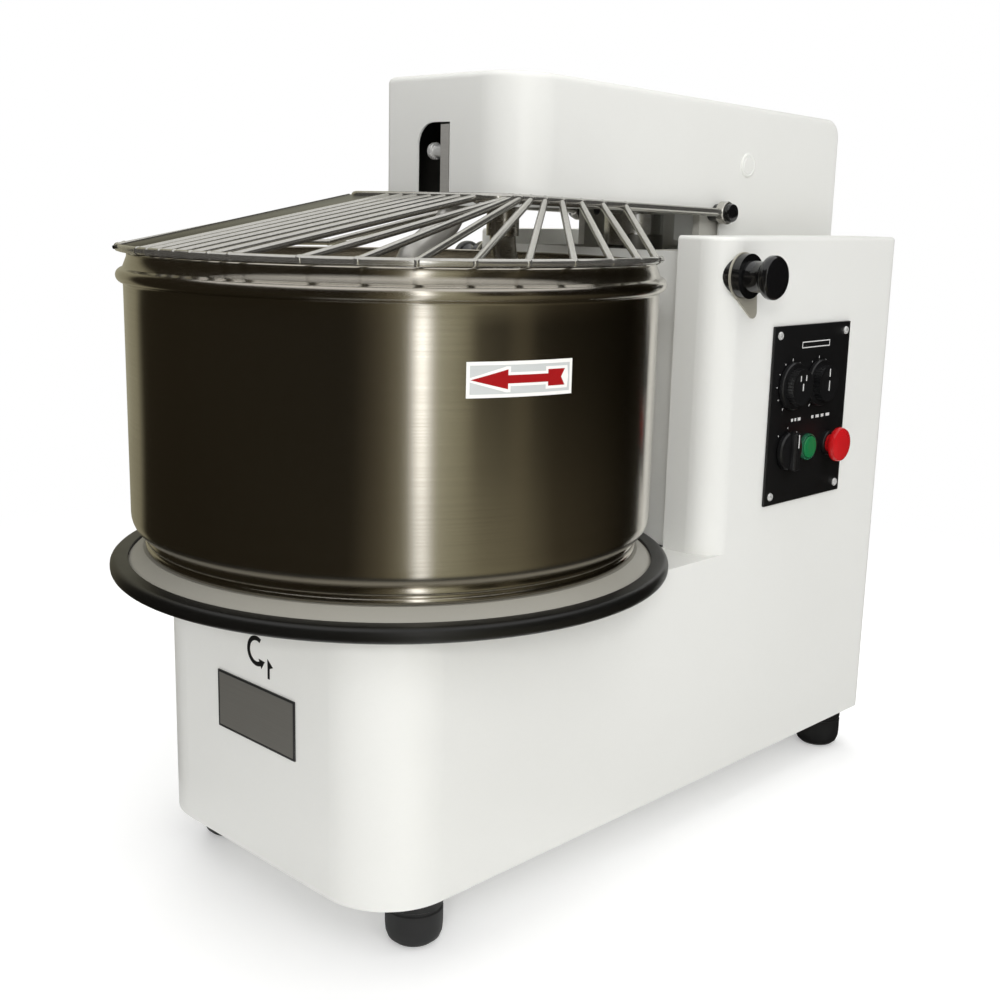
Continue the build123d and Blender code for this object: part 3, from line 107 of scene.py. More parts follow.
def softBox(low, high, edge=0.6, segments=2, matrix=None):
    bm = bmesh.new()
    size = [b - a for a, b in zip(low, high)]
    middle = [(a + b) / 2 for a, b in zip(low, high)]
    bmesh.ops.create_cube(bm, size=1.0)
    bmesh.ops.scale(bm, vec=Vector(size) * mm, verts=bm.verts[:])
    if edge > 0:
        bmesh.ops.bevel(bm, geom=bm.edges[:], offset=edge * mm, affect="EDGES", segments=segments,
                        profile=0.5, material=-1)
    bmesh.ops.translate(bm, vec=Vector(middle) * mm, verts=bm.verts[:])
    if matrix:
        bmesh.ops.transform(bm, matrix=matrix, verts=bm.verts[:])
    return bm


def rodBetween(bm, start, end, radius, sides=14):
    start = Vector(start) * mm
    end = Vector(end) * mm
    run = end - start
    bmesh.ops.create_cone(bm, cap_ends=True, cap_tris=False, segments=sides, radius1=radius * mm,
                          radius2=radius * mm, depth=run.length, matrix=turnTo(run, (start + end) / 2))


# prism or cone along x, round its middle
def addPrism(bm, middle, sides, near, far, length):
    bmesh.ops.create_cone(bm, cap_ends=True, segments=sides, radius1=near * mm, radius2=far * mm,
                          depth=length * mm, matrix=turnTo(outX, Vector(middle) * mm))


def weldBlob(bm, place, radius):
    matrix = Matrix.Translation(Vector(place) * mm)
    bmesh.ops.create_icosphere(bm, subdivisions=2, radius=radius * mm, matrix=matrix)


# one shape taken out of another
def carved(bm, cutter):
    made = []
    for shape in (bm, cutter):
        bmesh.ops.recalc_face_normals(shape, faces=shape.faces[:])
        mesh = bpy.data.meshes.new("carving")
        shape.to_mesh(mesh)
        shape.free()
        made.append(bpy.data.objects.new("carving", mesh))
        scene.collection.objects.link(made[-1])
    cut = made[0].modifiers.new("cut", "BOOLEAN")
    cut.object = made[1]
    cut.solver = "EXACT"
    bpy.context.view_layer.update()
    result = bmesh.new()
    result.from_object(made[0], bpy.context.evaluated_depsgraph_get())
    for piece in made:
        mesh = piece.data
        bpy.data.objects.remove(piece)
        bpy.data.meshes.remove(mesh)
    return result


# flat shape from corner points, given a thickness
def flatShape(corners, thickness):
    bm = bmesh.new()
    face = bm.faces.new([bm.verts.new((x * mm, y * mm, 0)) for x, y in corners])
    lifted = bmesh.ops.extrude_face_region(bm, geom=[face])
    bmesh.ops.translate(bm, vec=(0, 0, thickness * mm),
                        verts=[v for v in lifted["geom"] if isinstance(v, bmesh.types.BMVert)])
    return bm


# rod along corner points, its corners bent round
def bentRod(corners, radius, bend):
    curve = bpy.data.curves.new("bentRod", "CURVE")
    curve.dimensions = "3D"
    curve.bevel_depth = radius * mm
    curve.bevel_resolution = 4
    curve.resolution_u = 8
    curve.use_fill_caps = True
    spline = curve.splines.new("BEZIER")
    points = [Vector(c) * mm for c in corners]
    outside, inside = 1.3, 0.45
    places = [(points[0], points[0], points[0])]
    for before, corner, after in zip(points, points[1:], points[2:]):
        toBefore = (before - corner).normalized() * bend * mm
        toAfter = (after - corner).normalized() * bend * mm
        places.append((corner + toBefore, corner + toBefore * outside, corner + toBefore * inside))
        places.append((corner + toAfter, corner + toAfter * inside, corner + toAfter * outside))
    places.append((points[-1], points[-1], points[-1]))
    spline.bezier_points.add(len(places) - 1)
    for knot, (at, left, right) in zip(spline.bezier_points, places):
        knot.co = at
        knot.handle_left = left
        knot.handle_right = right
    holder = bpy.data.objects.new("bentRod", curve)
    mesh = bpy.data.meshes.new_from_object(holder)
    bm = bmesh.new()
    bm.from_mesh(mesh)
    bpy.data.objects.remove(holder)
    bpy.data.curves.remove(curve)
    bpy.data.meshes.remove(mesh)
    return bm


# finishes
def tone(red, green, blue):
    shares = [c / 255 for c in (red, green, blue)]
    return [((s + 0.055) / 1.055) ** 2.4 if s > 0.04 else s / 12.92 for s in shares] + [1.0]


def addNode(tree, kind, settings=(), **values):
    node = tree.nodes.new(kind)
    for key, value in settings:
        setattr(node, key, value)
    for key, value in values.items():
        node.inputs[key.replace("_", " ")].default_value = value
    return node


def joinUp(tree, *pairs):
    for start, end in pairs:
        tree.links.new(start, end)


def newGroup(name, inputs, outputs):
    group = bpy.data.node_groups.new(name, "ShaderNodeTree")
    for label, kind in inputs:
        group.interface.new_socket(name=label, in_out="INPUT", socket_type="NodeSocket" + kind)
    for label, kind in outputs:
        group.interface.new_socket(name=label, in_out="OUTPUT", socket_type="NodeSocket" + kind)
    return group, group.nodes.new("NodeGroupInput"), group.nodes.new("NodeGroupOutput")


def mathIn(tree, operation, *values):
    node = addNode(tree, "ShaderNodeMath", [("operation", operation)])
    for index, value in enumerate(values):
        if isinstance(value, (int, float)):
            node.inputs[index].default_value = value
        else:
            tree.links.new(value, node.inputs[index])
    return node.outputs[0]


surfaceIn = [("Tint", "Color"), ("Shade", "Color"), ("Gloss", "Float"), ("Spread", "Float"),
             ("Pattern", "Vector")]
surfaceOut = [("Color", "Color"), ("Roughness", "Float"), ("Height", "Float")]


# a broad drift of tone and a fine pattern, both on the piece's own coordinates
def surfaceGroup(name, broad, fine, detail, drift, contrast):
    group, given, out = newGroup(name, surfaceIn, surfaceOut)
    place = addNode(group, "ShaderNodeTexCoord").outputs["Object"]
    wide = addNode(group, "ShaderNodeTexNoise", Scale=broad, Detail=3.0, Roughness=0.55)
    stretch = addNode(group, "ShaderNodeMapping")
    small = addNode(group, "ShaderNodeTexNoise", Scale=fine, Detail=detail, Roughness=0.6)
    joinUp(group, (place, wide.inputs["Vector"]), (place, stretch.inputs["Vector"]),
           (given.outputs["Pattern"], stretch.inputs["Scale"]), (stretch.outputs[0], small.inputs["Vector"]))
    blend = mathIn(group, "ADD", mathIn(group, "MULTIPLY", wide.outputs["Fac"], drift),
                   mathIn(group, "MULTIPLY", small.outputs["Fac"], contrast))
    mix = addNode(group, "ShaderNodeMix", [("data_type", "RGBA"), ("clamp_factor", True)])
    middle = 0.45
    swing = mathIn(group, "MULTIPLY", mathIn(group, "SUBTRACT", blend, middle), given.outputs["Spread"])
    rough = mathIn(group, "ADD", given.outputs["Gloss"], swing)
    joinUp(group, (blend, mix.inputs["Factor"]), (given.outputs["Tint"], mix.inputs["A"]),
           (given.outputs["Shade"], mix.inputs["B"]), (mix.outputs["Result"], out.inputs["Color"]),
           (rough, out.inputs["Roughness"]), (small.outputs["Fac"], out.inputs["Height"]))
    return group


paintSkin = surfaceGroup("paintSkin", broad=5.0, fine=420.0, detail=2.0, drift=0.7, contrast=0.25)
brushLines = surfaceGroup("brushLines", broad=7.0, fine=1.0, detail=4.0, drift=0.25, contrast=0.7)
mouldGrain = surfaceGroup("mouldGrain", broad=28.0, fine=900.0, detail=3.0, drift=0.55, contrast=0.45)
castSkin = surfaceGroup("castSkin", broad=18.0, fine=260.0, detail=5.0, drift=0.5, contrast=0.55)
print("surface groups made")


def makeFinish(name, group, tint, shade, gloss, spread=0.1, pattern=(1, 1, 1), bump=0.1, depth=0.1,
               **constants):
    material = bpy.data.materials.new(name)
    material.use_nodes = True
    tree = material.node_tree
    shader = tree.nodes["Principled BSDF"]
    surface = addNode(tree, "ShaderNodeGroup", [("node_tree", group)], Tint=tone(*tint), Shade=tone(*shade),
                      Gloss=gloss, Spread=spread, Pattern=pattern)
    relief = addNode(tree, "ShaderNodeBump", Strength=bump, Distance=depth * mm)
    joinUp(tree, (surface.outputs["Color"], shader.inputs["Base Color"]),
           (surface.outputs["Roughness"], shader.inputs["Roughness"]),
           (surface.outputs["Height"], relief.inputs["Height"]),
           (relief.outputs["Normal"], shader.inputs["Normal"]))
    for key, value in constants.items():
        shader.inputs[key.replace("_", " ")].default_value = value
    material.diffuse_color = tone(*tint)
    finishes[name] = material
    return tree, shader


# painted sheet, and the head's dark inside, which is painted shade
makeFinish("whitePaint", paintSkin, (238, 238, 234), (231, 231, 226), 0.40, 0.12, bump=0.12, depth=0.08,
           Coat_Weight=0.15, Coat_Roughness=0.2)
makeFinish("tablePaint", paintSkin, (168, 165, 155), (154, 151, 141), 0.42, 0.12, bump=0.12, depth=0.08)
makeFinish("paintedShadeInside", castSkin, (58, 57, 54), (46, 45, 42), 0.7, 0.2, bump=0.2)
# metals
makeFinish("wireSteel", brushLines, (206, 204, 198), (172, 170, 164), 0.16, 0.08, (260, 260, 260), 0.04, 0.05,
           Metallic=0.88)
# guard plate: steel whose colour is darkened as a painted reflection of dark surroundings
makeFinish("plateDarkReflection", brushLines, (80, 78, 73), (58, 56, 52), 0.30, 0.15, (900, 9, 90), 0.05, 0.05,
           Metallic=1.0)
makeFinish("toolSteel", brushLines, (206, 202, 195), (170, 165, 157), 0.26, 0.12, (90, 90, 700), 0.06, 0.05,
           Metallic=1.0)
makeFinish("barSteel", brushLines, (226, 224, 219), (198, 195, 189), 0.30, 0.12, (90, 90, 700), 0.06, 0.05,
           Metallic=0.5)
makeFinish("boltZinc", castSkin, (236, 236, 234), (214, 214, 212), 0.28, 0.12, bump=0.05, Metallic=0.35)
makeFinish("pointerSteel", brushLines, (188, 184, 170), (162, 158, 145), 0.34, 0.12, (60, 60, 700), 0.05,
           0.05, Metallic=0.25)
makeFinish("frameSteel", castSkin, (218, 216, 208), (198, 196, 188), 0.42, 0.16, bump=0.1, Metallic=0.15)
makeFinish("plainSteel", castSkin, (150, 149, 146), (116, 114, 110), 0.42, 0.2, bump=0.12, Metallic=1.0)
makeFinish("groundSteel", brushLines, (200, 200, 200), (168, 168, 168), 0.24, 0.1, (120, 120, 900), 0.05,
           0.05, Metallic=1.0)
makeFinish("zincPlate", castSkin, (205, 206, 206), (172, 174, 176), 0.33, 0.16, bump=0.08, Metallic=1.0)
makeFinish("castIron", castSkin, (128, 132, 134), (104, 108, 110), 0.55, 0.2, bump=0.35, depth=0.3,
           Metallic=0.2)
makeFinish("turnedAlloy", brushLines, (190, 190, 188), (158, 157, 154), 0.35, 0.14, (300, 300, 40), 0.08,
           0.06, Metallic=1.0)
# rubber and plastic
makeFinish("blackRubber", mouldGrain, (11, 11, 10), (22, 21, 19), 0.36, 0.2, bump=0.1)
makeFinish("footRubber", mouldGrain, (22, 22, 22), (36, 36, 36), 0.55, 0.2, bump=0.15)
makeFinish("blackPlastic", mouldGrain, (17, 17, 18), (27, 27, 28), 0.30, 0.15, bump=0.07, depth=0.06)
makeFinish("glossBlack", mouldGrain, (12, 12, 13), (20, 20, 21), 0.16, 0.1, bump=0.03, depth=0.05,
           Coat_Weight=0.4, Coat_Roughness=0.08)
makeFinish("panelBlack", mouldGrain, (15, 15, 16), (24, 24, 25), 0.42, 0.15, bump=0.08, depth=0.06)
makeFinish("redPlastic", mouldGrain, (205, 22, 28), (182, 14, 20), 0.26, 0.12, bump=0.05, depth=0.05)
makeFinish("greenPlastic", mouldGrain, (20, 128, 72), (12, 106, 58), 0.3, 0.12, bump=0.05, depth=0.05)
makeFinish("greenRing", mouldGrain, (44, 104, 76), (28, 82, 58), 0.2, 0.1, bump=0.04, depth=0.05,
           Coat_Weight=0.4, Coat_Roughness=0.1)
# labels, inks and the front plate
makeFinish("labelSheet", mouldGrain, (248, 247, 243), (240, 239, 234), 0.38, 0.1, bump=0.04, depth=0.04)
makeFinish("greyInk", brushLines, (208, 211, 209), (192, 195, 193), 0.36, 0.1, (60, 60, 900), 0.03, 0.04)
makeFinish("redInk", mouldGrain, (168, 8, 12), (148, 5, 9), 0.5, 0.1, bump=0.03, Specular_IOR_Level=0.25)
makeFinish("whiteInk", mouldGrain, (226, 226, 224), (206, 206, 203), 0.5, 0.1, bump=0.03)
makeFinish("blackInk", mouldGrain, (18, 18, 18), (30, 30, 30), 0.5, 0.1, bump=0.03)
makeFinish("badgeGrey", brushLines, (122, 120, 114), (107, 105, 99), 0.40, 0.12, (12, 300, 1400), 0.05, 0.04,
           Metallic=0.2)
makeFinish("badgeRim", mouldGrain, (34, 34, 34), (48, 48, 48), 0.45, 0.1, bump=0.05)
# bowl: brush lines run round it, so its glints spread up and down
tree, shader = makeFinish("bowlSteel", brushLines, (205, 200, 189), (176, 170, 158), 0.20, 0.08, (5, 5, 900),
                          0.05, 0.05, Metallic=1.0, Anisotropic=0.85, Anisotropic_Rotation=0.25)
grainRound = addNode(tree, "ShaderNodeTangent", [("direction_type", "RADIAL"), ("axis", "Z")])
tree.links.new(grainRound.outputs[0], shader.inputs["Tangent"])
print("finishes:", len(finishes))

# nodes that keep their own mesh
carried = {
    "whitePaint": ["body_shell", "column_front_panel", "column_deck", "rear_cover", "bottom_plate"],
    "tablePaint": ["turntable"],
    "toolSteel": ["spiral_tool"],
    "barSteel": ["breaker_bar"],
    "plainSteel": ["side_frame_left", "side_frame_right", "motor_bracket", "shaft_beam", "bowl_chain",
                   "head_chain", "bowl_sprocket", "spiral_sprocket", "bowl_drive_sprocket",
                   "head_drive_sprocket", "clutch_lower"],
    "groundSteel": ["hinge_shaft", "main_shaft", "bowl_spindle", "head_drive_shaft", "base_bearings",
                    "head_bearings", "motor_rotor"],
    "castIron": ["motor_housing", "motor_fan_cowl", "bowl_bearing_housing", "main_bearing_block",
                 "head_bearing_housings"],
    "turnedAlloy": ["motor_pulley", "main_pulley"],
    "pointerSteel": ["lock_pointers"],
    "frameSteel": ["head_frame"],
    "blackRubber": ["drive_belt"],
    "glossBlack": ["lock_bushes"],
}
for finish, names in carried.items():
    for name in names:
        for holder in nodes[name].material_slots:
            holder.material = finishes[finish]

# bowl, spun from its section, on a foot ring with a flange in three parts
bowl = {"centre": (0, -160, 0), "radius": 225.0, "wall": 1.5, "floor": 312.2, "corner": 20.0, "bead": 529.2,
        "beadSize": 6.0, "rim": 547.2, "lip": 4.0, "steps": 168,
        "foot": [(206.2, 301.3), (213.0, 301.3), (213.8, 302.2), (214, 303.8), (213.8, 305.3), (213.1, 306.1),
                 (212.3, 306.5), (212.2, 307.7), (213, 308.2), (213.6, 309.4), (213.7, 311), (213.4, 312.8),
                 (212.6, 314.2), (206.2, 313.0)],
        "flange": [(196, 303.7), (206.4, 303.7), (206.4, 306.2), (196, 306.2)], "flangeFrom": 18.75,
        "flangeTurn": 112.5}
axisY = bowl["centre"][1]


def makeBowl(b):
    radius = b["radius"]
    inner = radius - b["wall"]
    lipRadius = radius - b["lip"]
    turnIn = radius - b["corner"]
    cornerZ = b["floor"] + b["corner"]
    beadLow = b["bead"] - b["beadSize"]
    beadHigh = b["bead"] + b["beadSize"]
    outline = [(0, b["floor"]), (60, b["floor"]), (130, b["floor"])]
    outline += arcPoints((turnIn, cornerZ), b["corner"], -90, 0, 10)
    outline += [(radius, z) for z in (400, 460, 505)]
    outline += [(radius, beadLow - 2), (radius + 0.3, beadLow - 0.6)]
    outline += arcPoints((radius, b["bead"]), b["beadSize"], -78, 78, 10)
    outline += [(radius + 0.2, beadHigh + 0.6), (lipRadius + 0.9, b["rim"] - 3.0)]
    outline += arcPoints((lipRadius - 0.6, b["rim"] - 1.5), 1.5, 20, 180, 5)
    outline += [(inner - b["lip"] + 2.6, b["rim"] - 6.5), (inner, beadHigh)]
    outline += arcPoints((inner, b["bead"]), b["beadSize"] - 1.6, 70, -70, 6)
    outline += [(inner, beadLow), (inner, 440)]
    outline += arcPoints((turnIn, cornerZ), b["corner"] - b["wall"], 0, -90, 8)
    outline += [(110, b["floor"] + b["wall"]), (0, b["floor"] + b["wall"])]
    bm = turned(outline, b["centre"], steps=b["steps"])
    addTo(bm, turned(b["foot"], b["centre"], steps=b["steps"], closed=True))
    for third in range(3):  # gaps let the keepers pass
        addTo(bm, turned(b["flange"], b["centre"], steps=36, closed=True, arc=math.radians(b["flangeTurn"]),
                         start=math.radians(b["flangeFrom"] + 120 * third)))
    putOut(bm, "bowlShell", "bowl", "bowlSteel", sharpAt=50, stands=["bowl"], slot="stainless")


makeBowl(bowl)
print("bowl done")

# arrow label in four layers, bent round the bowl
label = {"angle": -17.0, "middle": 469.2, "length": 88.0, "height": 26.0, "stand": 0.06, "sheet": 0.3,
         "ink": 0.06, "bendStep": 4.0,
         "field": [(-41.4, -10.4), (41.4, -10.4), (41.4, 10.4), (-41.4, 10.4)],
         "edge": [(-41.3, -1.6), (-13.5, -9.3), (-10, -9.3), (-10, -5), (19.5, -5), (19.5, -8.2),
                  (39.2, -8.2), (40.2, 0), (39.2, 8.2), (19.5, 8.2), (19.5, 5), (-10, 5), (-10, 9.3),
                  (-13.5, 9.3), (-41.3, 1.6)],
         "arrow": [(-41, 0), (-12, -7.2), (-12, -3), (21.5, -3), (21.5, -6.1), (36.8, -6.1), (33.4, 0),
                   (36.8, 6.1), (21.5, 6.1), (21.5, 3), (-12, 3), (-12, 7.2)]}


def bentOnBowl(bm, lift):
    reach = label["length"] / 2 * mm
    at = -reach
    while at < reach:
        bmesh.ops.bisect_plane(bm, geom=everything(bm), plane_co=(at, 0, 0), plane_no=outX, dist=1e-7)
        at += label["bendStep"] * mm
    for vert in bm.verts:
        turn = math.radians(label["angle"]) + vert.co.x / (bowl["radius"] * mm)
        out = bowl["radius"] * mm + lift * mm + vert.co.z
        height = label["middle"] * mm + vert.co.y
        vert.co = (out * math.cos(turn), axisY * mm + out * math.sin(turn), height)
    return bm


def makeLabel(a):
    reach = a["length"] / 2
    half = a["height"] / 2
    sheet = softBox((-reach, -half, 0), (reach, half, a["sheet"]), edge=0.1, segments=1)
    putOut(bentOnBowl(sheet, a["stand"]), "bowlLabelSheet", "bowl", "labelSheet", stands=["bowl_label"],
           slot="white_plastic")
    layers = [("Field", "greyInk", "grey_plate"), ("Edge", "labelSheet", "white_plastic"),
              ("Arrow", "redInk", "red_plastic")]
    for layer, (part, finish, slot) in enumerate(layers):
        shape = flatShape(a[part.lower()], a["ink"])
        lift = a["stand"] + a["sheet"] + a["ink"] * layer
        putOut(bentOnBowl(shape, lift), "bowlLabel" + part, "bowl", finish, slot=slot)


makeLabel(label)
print("label done")

# rubber edge ring of the turntable, rounded on its outside
edgeRing = {"inner": 229.0, "outer": 244.0, "low": 280.0, "high": 293.0, "round": 5.5, "roundBeyond": 235.0}


def makeEdgeRing(e):
    section = [(e["inner"], e["low"]), (e["outer"], e["low"]), (e["outer"], e["high"]),
               (e["inner"], e["high"])]
    bm = turned(section, bowl["centre"], steps=144, closed=True)
    rims = []
    for edge in bm.edges:
        level = abs(edge.verts[0].co.z - edge.verts[1].co.z) < 1e-7
        reach = min(math.hypot(v.co.x, v.co.y - axisY * mm) for v in edge.verts)
        if level and reach > e["roundBeyond"] * mm:
            rims.append(edge)
    bmesh.ops.bevel(bm, geom=rims, offset=e["round"] * mm, affect="EDGES", segments=5, profile=0.5,
                    material=-1)
    putOut(bm, "tableEdgeRing", "turntable", "blackRubber", stands=["turntable_trim"], slot="black_rubber")


makeEdgeRing(edgeRing)

# guard: bent frame rod, ring, wires, plate and pivot eyes
guard = {"arm": 94.0, "front": -135.0, "frontZ": 597.0, "pivotY": 184.0, "pivotZ": 589.0, "bend": 16.0,
         "rod": 4.0, "rodShort": 8.15, "wire": 3.0, "ringRadius": 228.0, "ringZ": 551.2, "ringStart": 152.0,
         "ringTurn": 236.0, "frontWires": 7, "frontPitch": 18.0, "frontInset": 22.0, "frontDrop": 1.5,
         "flankWires": 9, "flankFrom": -58.0, "flankTo": 24.0, "flankEnd": 30.0, "crowding": 1.8,
         "ringWeld": 1.22, "frontWeld": 1.25, "armWeld": 1.12, "plateWidth": 46.0, "plateHalf": 0.9,
         "platePast": -3.0, "hem": 1.5,
         "eye": [(5.3, -4.5), (10.2, -4.5), (11, -3.6), (11, 3.6), (10.2, 4.5), (5.3, 4.5)]}


def ringPoint(angle):
    turn = math.radians(angle)
    reach = guard["ringRadius"]
    return (reach * math.cos(turn), axisY + reach * math.sin(turn), guard["ringZ"])


def ringFront(x):
    return (x, axisY - math.sqrt(guard["ringRadius"] ** 2 - x * x), guard["ringZ"])


def armPoint(side, y):
    share = (guard["pivotY"] - y) / (guard["pivotY"] - guard["front"])
    return (side * guard["arm"], y, guard["pivotZ"] + (guard["frontZ"] - guard["pivotZ"]) * share)


def makeGuard(g):
    front = g["front"]
    backY = g["pivotY"] - g["rodShort"]
    bm = bentRod([armPoint(1, backY), armPoint(1, front), armPoint(-1, front), armPoint(-1, backY)], g["rod"],
                 g["bend"])
    loop = arcPoints((g["ringRadius"], g["ringZ"]), g["wire"], 0, 330, 11)
    addTo(bm, turned(loop, bowl["centre"], steps=120, closed=True, arc=math.radians(g["ringTurn"]),
                     start=math.radians(g["ringStart"])))
    for end in (g["ringStart"], g["ringStart"] + g["ringTurn"]):
        weldBlob(bm, ringPoint(end), g["wire"])
    for index in range(g["frontWires"]):
        x = g["arm"] - g["frontInset"] - index * g["frontPitch"]
        rodBetween(bm, (x, front, g["frontZ"]), ringFront(x), g["wire"])
        weldBlob(bm, ringFront(x), g["wire"] * g["ringWeld"])
        weldBlob(bm, (x, front, g["frontZ"] - g["frontDrop"]), g["wire"] * g["frontWeld"])
    for index in range(g["flankWires"]):
        share = index / (g["flankWires"] - 1)
        armY = front + g["bend"] + (g["flankEnd"] - front - g["bend"]) * share ** g["crowding"]
        x, y, z = ringPoint(g["flankFrom"] + (g["flankTo"] - g["flankFrom"]) * share)
        for side in (1, -1):
            rodBetween(bm, armPoint(side, armY), (side * x, y, z), g["wire"])
            weldBlob(bm, (side * x, y, z), g["wire"] * g["ringWeld"])
            weldBlob(bm, armPoint(side, armY), g["rod"] * g["armWeld"])
    for side in (1, -1):
        place = (side * g["arm"], g["pivotY"], g["pivotZ"])
        addTo(bm, turned(g["eye"], place, axis=outX, steps=36, closed=True))
    putOut(bm, "guardCage", "guard", "wireSteel", sharpAt=40, stands=["guard"], slot="stainless")


def makeGuardPlate(g):
    half = g["plateWidth"] / 2
    x = half - g["arm"]
    high = Vector((x, g["front"], g["frontZ"]))
    run = high - Vector(ringFront(x))
    length = run.length + g["platePast"]
    along = run.normalized()
    across = Vector(outX)
    matrix = Matrix((across, along, across.cross(along))).transposed().to_4x4()
    matrix.translation = (high - along * length / 2) * mm
    bm = softBox((-half, -length / 2, -g["plateHalf"]), (half, length / 2, g["plateHalf"]), edge=0.4,
                 matrix=matrix)
    for side in (-1, 1):  # hemmed long edges
        hemX = side * (half - g["hem"]) * mm
        start = matrix @ Vector((hemX, -length / 2 * mm, 0))
        end = matrix @ Vector((hemX, length / 2 * mm, 0))
        rodBetween(bm, start / mm, end / mm, g["hem"], sides=12)
    putOut(bm, "guardPlate", "guard", "plateDarkReflection", slot="stainless")


# one section turned on both sides of the machine
def bothSides(outline, y, z, steps):
    bm = bmesh.new()
    for side in (1, -1):
        addTo(bm, turned(outline, (0, y, z), axis=(side, 0, 0), steps=steps))
    return bm


makeGuard(guard)
makeGuardPlate(guard)
pivot = [(0, 70), (5, 70), (5, 78), (8, 78), (8, 89.2), (5, 89.2), (5, 98.8), (9, 98.8), (9, 102.4),
         (8.2, 103.9), (6.2, 104.6), (0, 104.8)]
putOut(bothSides(pivot, guard["pivotY"], guard["pivotZ"], 36), "guardPivots", "head", "glossBlack",
       stands=["guard_pivot_bolts"], slot="plain_steel")
print("guard done")

# head casing: a copy of its sheet, dark inside as far back as the cut across y; the dark inside is painted
# shade
head = {"middle": (0, 150, 640), "inward": -0.35, "shadeTo": 120}


def makeHead(h):
    shadeTo = h["shadeTo"] * mm
    bm = bmesh.new()
    bm.from_mesh(nodes["head_casing"].data)
    bmesh.ops.remove_doubles(bm, verts=bm.verts[:], dist=1e-5)
    bmesh.ops.dissolve_limit(bm, angle_limit=math.radians(0.5), verts=bm.verts[:], edges=bm.edges[:])
    bmesh.ops.bisect_plane(bm, geom=everything(bm), plane_co=(0, shadeTo, 0), plane_no=outY, dist=1e-6)
    bm.normal_update()
    middle = Vector(h["middle"]) * mm
    # inward faces ahead of the cut take the painted shade
    for face in bm.faces:
        spot = face.calc_center_median()
        inward = face.normal.dot((spot - middle).normalized()) < h["inward"]
        face.material_index = 1 if inward and spot.y < shadeTo else 0
    putOut(bm, "headCover", "head", "whitePaint", "paintedShadeInside", sharpAt=30, stands=["head_casing"],
           slot="white_paint")


makeHead(head)
plug = {"y": 233, "z": 636,
        "section": [(0, 84), (12, 84), (12, 84.7), (11.3, 85.3), (10.4, 85.5), (9.4, 85.45), (9.0, 85.05),
                    (8.4, 85.05), (8.0, 85.45), (0, 85.5)]}
putOut(bothSides(plug["section"], plug["y"], plug["z"], 40), "headPlugs", "head", "whitePaint",
       stands=["head_plugs"], slot="white_plastic")

# breaker bolt: round head with a hexagon socket on a shoulder, and its nut
bolt = {"y": -88.5, "z": 637, "headX": -34, "socket": 3, "socketDeep": 6, "nutX": 14, "nut": 7, "nutThick": 8,
        "section": [(0, -34), (4, -34), (5.6, -33.5), (6.9, -32.3), (7.5, -30.5), (7.5, -27.6), (7, -27),
                    (5.5, -27), (5.5, -10), (4, -10), (4, 10), (0, 10)]}


def makeBolt(b):
    bm = turned(b["section"], (0, b["y"], b["z"]), axis=outX, steps=40)
    socket = bmesh.new()
    addPrism(socket, (b["headX"], b["y"], b["z"]), 6, b["socket"], b["socket"], b["socketDeep"])
    bm = carved(bm, socket)
    addPrism(bm, (b["nutX"], b["y"], b["z"]), 6, b["nut"], b["nut"], b["nutThick"])
    putOut(bm, "breakerBolt", "head", "boltZinc", stands=["breaker_bolt"], slot="zinc")


makeBolt(bolt)
print("head done")

# lock plungers: black spools on steel pins
lock = {"y": 117.5, "z": 533.0,
        "spool": [(0, 167.5), (15, 167.5), (15, 176), (14.4, 179), (14.0, 183), (14.4, 187), (15.2, 190.6),
                  (16.8, 193), (19.0, 193.6), (19.9, 195), (20, 198), (19.7, 200.2), (18.2, 201.9),
                  (15.2, 202.5), (8, 202.2), (0, 202)],
        "pin": [(0, 110), (7, 110), (8, 111), (8, 168), (0, 168)]}
for side, name in ((1, "right"), (-1, "left")):
    centre = (0, lock["y"], lock["z"])
    spool = turned(lock["spool"], centre, axis=(side, 0, 0), steps=56)
    putOut(spool, "lockSpool" + name.title(), "lock_" + name, "glossBlack", stands=["lock_knob_" + name],
           slot="black_plastic")
    pin = turned(lock["pin"], centre, axis=(side, 0, 0), steps=32)
    putOut(pin, "lockPin" + name.title(), "lock_" + name, "groundSteel", slot="plain_steel")

# control panel and what stands on it
panel = {"y": 244.0, "z": 396.0, "width": 138.0, "height": 176.0, "back": 163.5, "face": 166.5, "hole": 11.5,
         "screwY": 60, "screwZ": 79, "screw": 4.0, "screwHigh": 2.0}
devices = {"timerLeft": (209, 425), "timerRight": (257, 425), "selector": (208, 361), "start": (244.5, 361),
           "stop": (283, 361)}


# domed head with a cross slot
def screwHead(bm, place, axis, radius, height):
    outline = [(0, 0), (radius, 0), (radius, height * 0.35), (radius * 0.86, height * 0.75),
               (radius * 0.55, height * 0.97), (0, height)]
    dome = turned(outline, place, axis=axis, steps=28)
    reach = radius * 0.62
    half = radius * 0.12
    for turn in (0.25, 0.75):
        matrix = turnTo(axis, Vector(place) * mm) @ Matrix.Rotation(turn * math.pi, 4, "Z")
        dome = carved(dome, softBox((-reach, -half, height * 0.35), (reach, half, height * 1.6), edge=0,
                                    matrix=matrix))
    addTo(bm, dome)


def makePanel(p):
    halfY = p["width"] / 2
    halfZ = p["height"] / 2
    sheet = softBox((p["back"], p["y"] - halfY, p["z"] - halfZ), (p["face"], p["y"] + halfY, p["z"] + halfZ),
                    edge=0.8, segments=3)
    drills = bmesh.new()
    for y, z in devices.values():
        rodBetween(drills, (150, y, z), (180, y, z), p["hole"], sides=40)
    putOut(carved(sheet, drills), "panelPlate", "body", "panelBlack", stands=["control_panel"],
           slot="black_plastic")
    screws = bmesh.new()
    for y in (-p["screwY"], p["screwY"]):
        for z in (-p["screwZ"], p["screwZ"]):
            screwHead(screws, (p["face"], p["y"] + y, p["z"] + z), outX, p["screw"], p["screwHigh"])
    putOut(screws, "panelScrews", "body", "boltZinc", stands=["panel_screws"], slot="zinc")


makePanel(panel)

